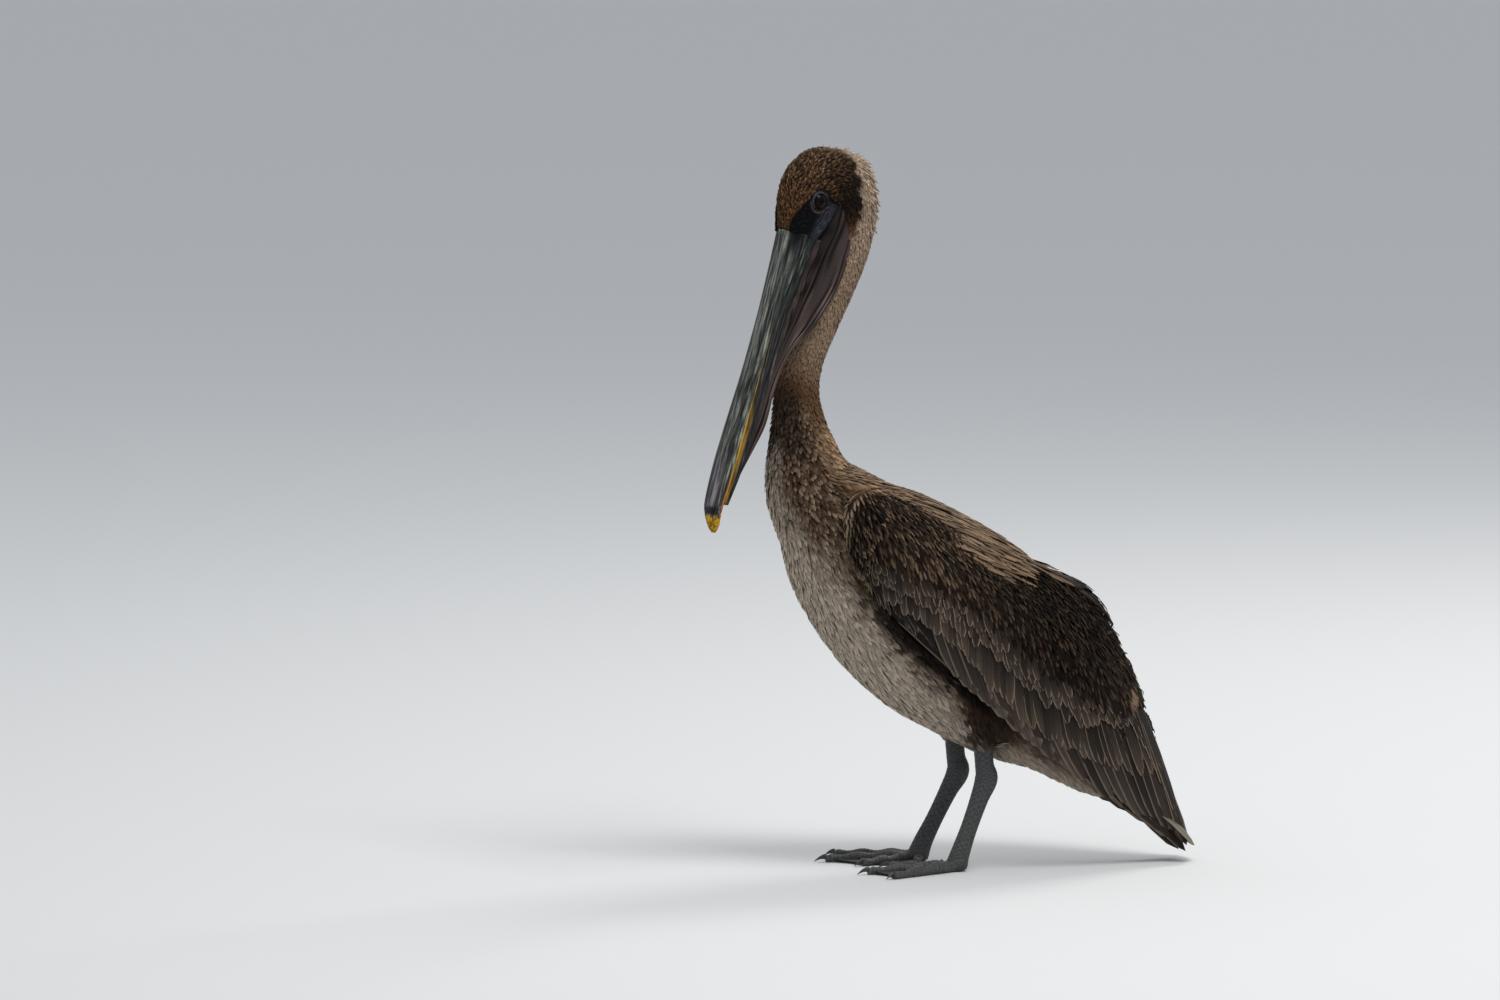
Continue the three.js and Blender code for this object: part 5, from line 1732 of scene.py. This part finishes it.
def small_coverts(side_name, side):
    part = WING_L if side > 0 else WING_R
    rng = np.random.default_rng(60 + side)
    outward = flesh_normals[flesh_faces].mean(1)[:, 1] * side
    chosen = (flesh_part == part) & ((outward > -0.1) | (centres[:, 0] < -120) & (outward > -0.8))
    chosen = chosen | (beside_wing & (centres[:, 1] * side > 0))
    roots, normals = strew(60 + side, chosen, np.full(len(flesh_faces), 2.7))
    ahead, off_line = past_medians(roots[:, [0, 2]])
    far = 27 * shorter_in_front(roots[:, 0])
    kept = ((ahead > far) | ((off_line > 4) & (roots[:, 0] > 0))) & (below(SHOULDER_LINE, roots) > -4)
    roots, normals, ahead = roots[kept], normals[kept], ahead[kept]
    count = len(roots)
    a = np.radians(steepness(roots[:, 0]) + rng.normal(0, 6, count))
    ways = flattened(np.stack([-np.cos(a), np.zeros(count), -np.sin(a)], -1), normals)
    size = smooth(120, 30, ahead) * smooth(64, 20, roots[:, 0])
    length = mix(10.5, 20, size) * rng.uniform(0.85, 1.15, count)
    half = mix(1.35, 2.7, size) * rng.uniform(0.85, 1.15, count)
    full = rng.uniform(3.2, 4.7, count)
    spines, ups = lay(roots, normals, ways, length, SMALL_STOPS, lambda s: full * (2 * s - s * s) - 0.4)
    dark = WING_DARK * (1 - 0.4 * smooth(-0.2, 1.0, mottle(roots)))[:, None]
    deep = mix(1.0, 0.55, smooth(10, -110, roots[:, 0]))
    colour = dark * deep[:, None] * rng.uniform(0.45, 1.15, (count, 1))
    from_rim = np.min(np.linalg.norm(roots[:, None, [0, 2]] - rim_line[None], axis=-1), 1)
    rim = smooth(8, 3, from_rim) * mix(0.08, 0.6, smooth(40, 56, roots[:, 0]))
    plainer = mix(0.9, 0.36, smooth(0, -120, roots[:, 0]))
    pale = mix(colour, DASH, rng.uniform(0.0, 1.0, count) ** 2.4 * 0.9 * plainer)
    pale, colour = mix(pale, RIM_TAN, rim), mix(colour, RIM_TAN, rim * 0.7)
    elbow = smooth(11, 6, np.linalg.norm((roots[:, [0, 2]] - ELBOW_AT) * (1.5, 0.8), axis=-1)) * 0.6
    pale, colour = mix(pale, ELBOW_TAN, elbow), mix(colour, ELBOW_TAN * 0.7, elbow)
    # Painted shade: each feather darkens towards its root, which the feathers above it cover.
    inner = [colour * 0.5, colour * 0.6, colour * 0.5]  # an edge, the shaft and the other edge
    middle = [colour * 0.8, mix(colour, pale, 0.5), colour * 0.8]
    rows = [colour * 0.35, *inner, *middle, colour, pale, colour, pale]
    unwrap = side_map(roots[:, 0], roots[:, 2], side)
    return plumes(f"lesser_coverts_{side_name}", "wing", feather_paint, spines, ups, half, SMALL_STOPS,
                  SMALL_SHARES, half * 0.32, rng.normal(0, 0.16, count), np.stack(rows, 1), unwrap)


for side_name, side in SIDES.items():
    small_coverts(side_name, side)

# %% [markdown]
# ## Mantle, scapulars and tail
# Long pointed feathers of the back and shoulders cover the wings' upper edges and the gap between them. The
# tail is a short stiff fan under the wing tips.

# %% Mantle and scapulars
LANCE_STOPS, LANCE_SHARES = [0, 0.15, 0.4, 0.65, 0.88, 1], [0.7, 1, 0.9, 0.5]
# The back's feathers take a dark edge_tone: painted shade along their edges, where they overlap.
back_paint = large_feather_paint("back_feathers", linear(30, 24, 19), 0.62, 0.8, 0.1)


def mantle():
    rng = np.random.default_rng(71)
    on_shoulder = ((flesh_part == WING_L) | (flesh_part == WING_R)) & (below(SHOULDER_LINE, centres) < -1)
    chosen = (mantle_part | on_shoulder) & (centres[:, 0] > -245)
    roots, normals = strew(71, chosen, mix(4.4, 3.2, smooth(-20, 40, centres[:, 0])))
    count = len(roots)
    away = np.stack([np.full(count, -1.0), 0.05 * np.sign(roots[:, 1]), np.full(count, -0.53)], -1)
    ways = leaned(flattened(away, normals), normals, rng.normal(0, 0.07, count))
    size = smooth(60, -40, roots[:, 0])
    length = mix(15, 42, size) * rng.uniform(0.8, 1.15, count)
    half = mix(2.0, 3.0, size) * rng.uniform(0.85, 1.15, count)
    full = mix(4.6, 6.0, size) * rng.uniform(0.7, 1.0, count)

    def rise(s):
        return full * (1.7 * s - 0.7 * s * s) - 0.4

    spines, ups = lay(roots, normals, ways, length, LANCE_STOPS, rise)
    golden = smooth(-150, -100, roots[:, 0] + 10 * mottle(roots))
    colour = mix(WING_DARK * 1.1, MANTLE * (0.85, 0.86, 0.88), golden) * rng.uniform(0.4, 1.3, (count, 1))
    # Painted shade: darker near the quill, where the feathers over it lie, and along the edges between
    # feathers.
    shade = vane_shades(0.3, [0.5, 0.8, 1.05, 1.2], 1.3, edges=[0.25, 0.35, 0.45, 0.7])
    unwrap = np.stack([roots[:, 0] / 900 + 0.5, roots[:, 1] / 900 + 0.86], -1)
    return plumes("mantle", "wing", back_paint, spines, ups, half, LANCE_STOPS, LANCE_SHARES,
                  np.full(count, 0.7), rng.normal(0, 0.14, count), colour[:, None] * shade, unwrap)


mantle()

# %% Tail
tail_frame = curve([(x, 0, z) for x, z in TAIL])
TAIL_COUNT, TAIL_GREY = 22, linear(150, 142, 132)


def tail_fan():
    rng = np.random.default_rng(81)
    spread_out = np.linspace(-1, 1, TAIL_COUNT)
    order = 1 - np.abs(spread_out)
    spines, ups = [], []
    for stop in LONG_STOPS:
        middle = tail_frame(stop * (0.93 + 0.05 * order))
        half_wide = mix(10, 30, stop**0.8) - 6 * stop**3
        side = spread_out * half_wide
        layer = (order - 0.5) * 3.2 * (1 - stop * 0.6)
        spines.append(middle + np.stack([0 * side, side, layer], -1))
        ups.append([-0.45, 0, 0.9] + np.stack([0 * side, spread_out * 0.35, 0 * side], -1))
    spines, ups = np.stack(spines, 1), unit(np.stack(ups, 1))
    colour = mix(GREY_QUILL, TAIL_GREY, rng.uniform(0.1, 0.8, TAIL_COUNT))
    shade = vane_shades(0.5, [0.6, 0.8, 0.95, 1, 1, 1.1], 1.3)
    unwrap = np.stack([spread_out * 0.2 + 0.5, np.full(TAIL_COUNT, 0.5)], -1)
    half, camber = np.full(TAIL_COUNT, 7.5), np.full(TAIL_COUNT, 0.8)
    return plumes("tail_fan", "quill", flight_paint, spines, ups, half, LONG_STOPS, BROAD_TIP, camber,
                  spread_out * 0.12, colour[:, None] * shade, unwrap, ["tail"])


tail_fan()

# %% [markdown]
# ## Sizes
# The dressed bird is meant to fill the same box as the solids.

# %% Sizes
import json
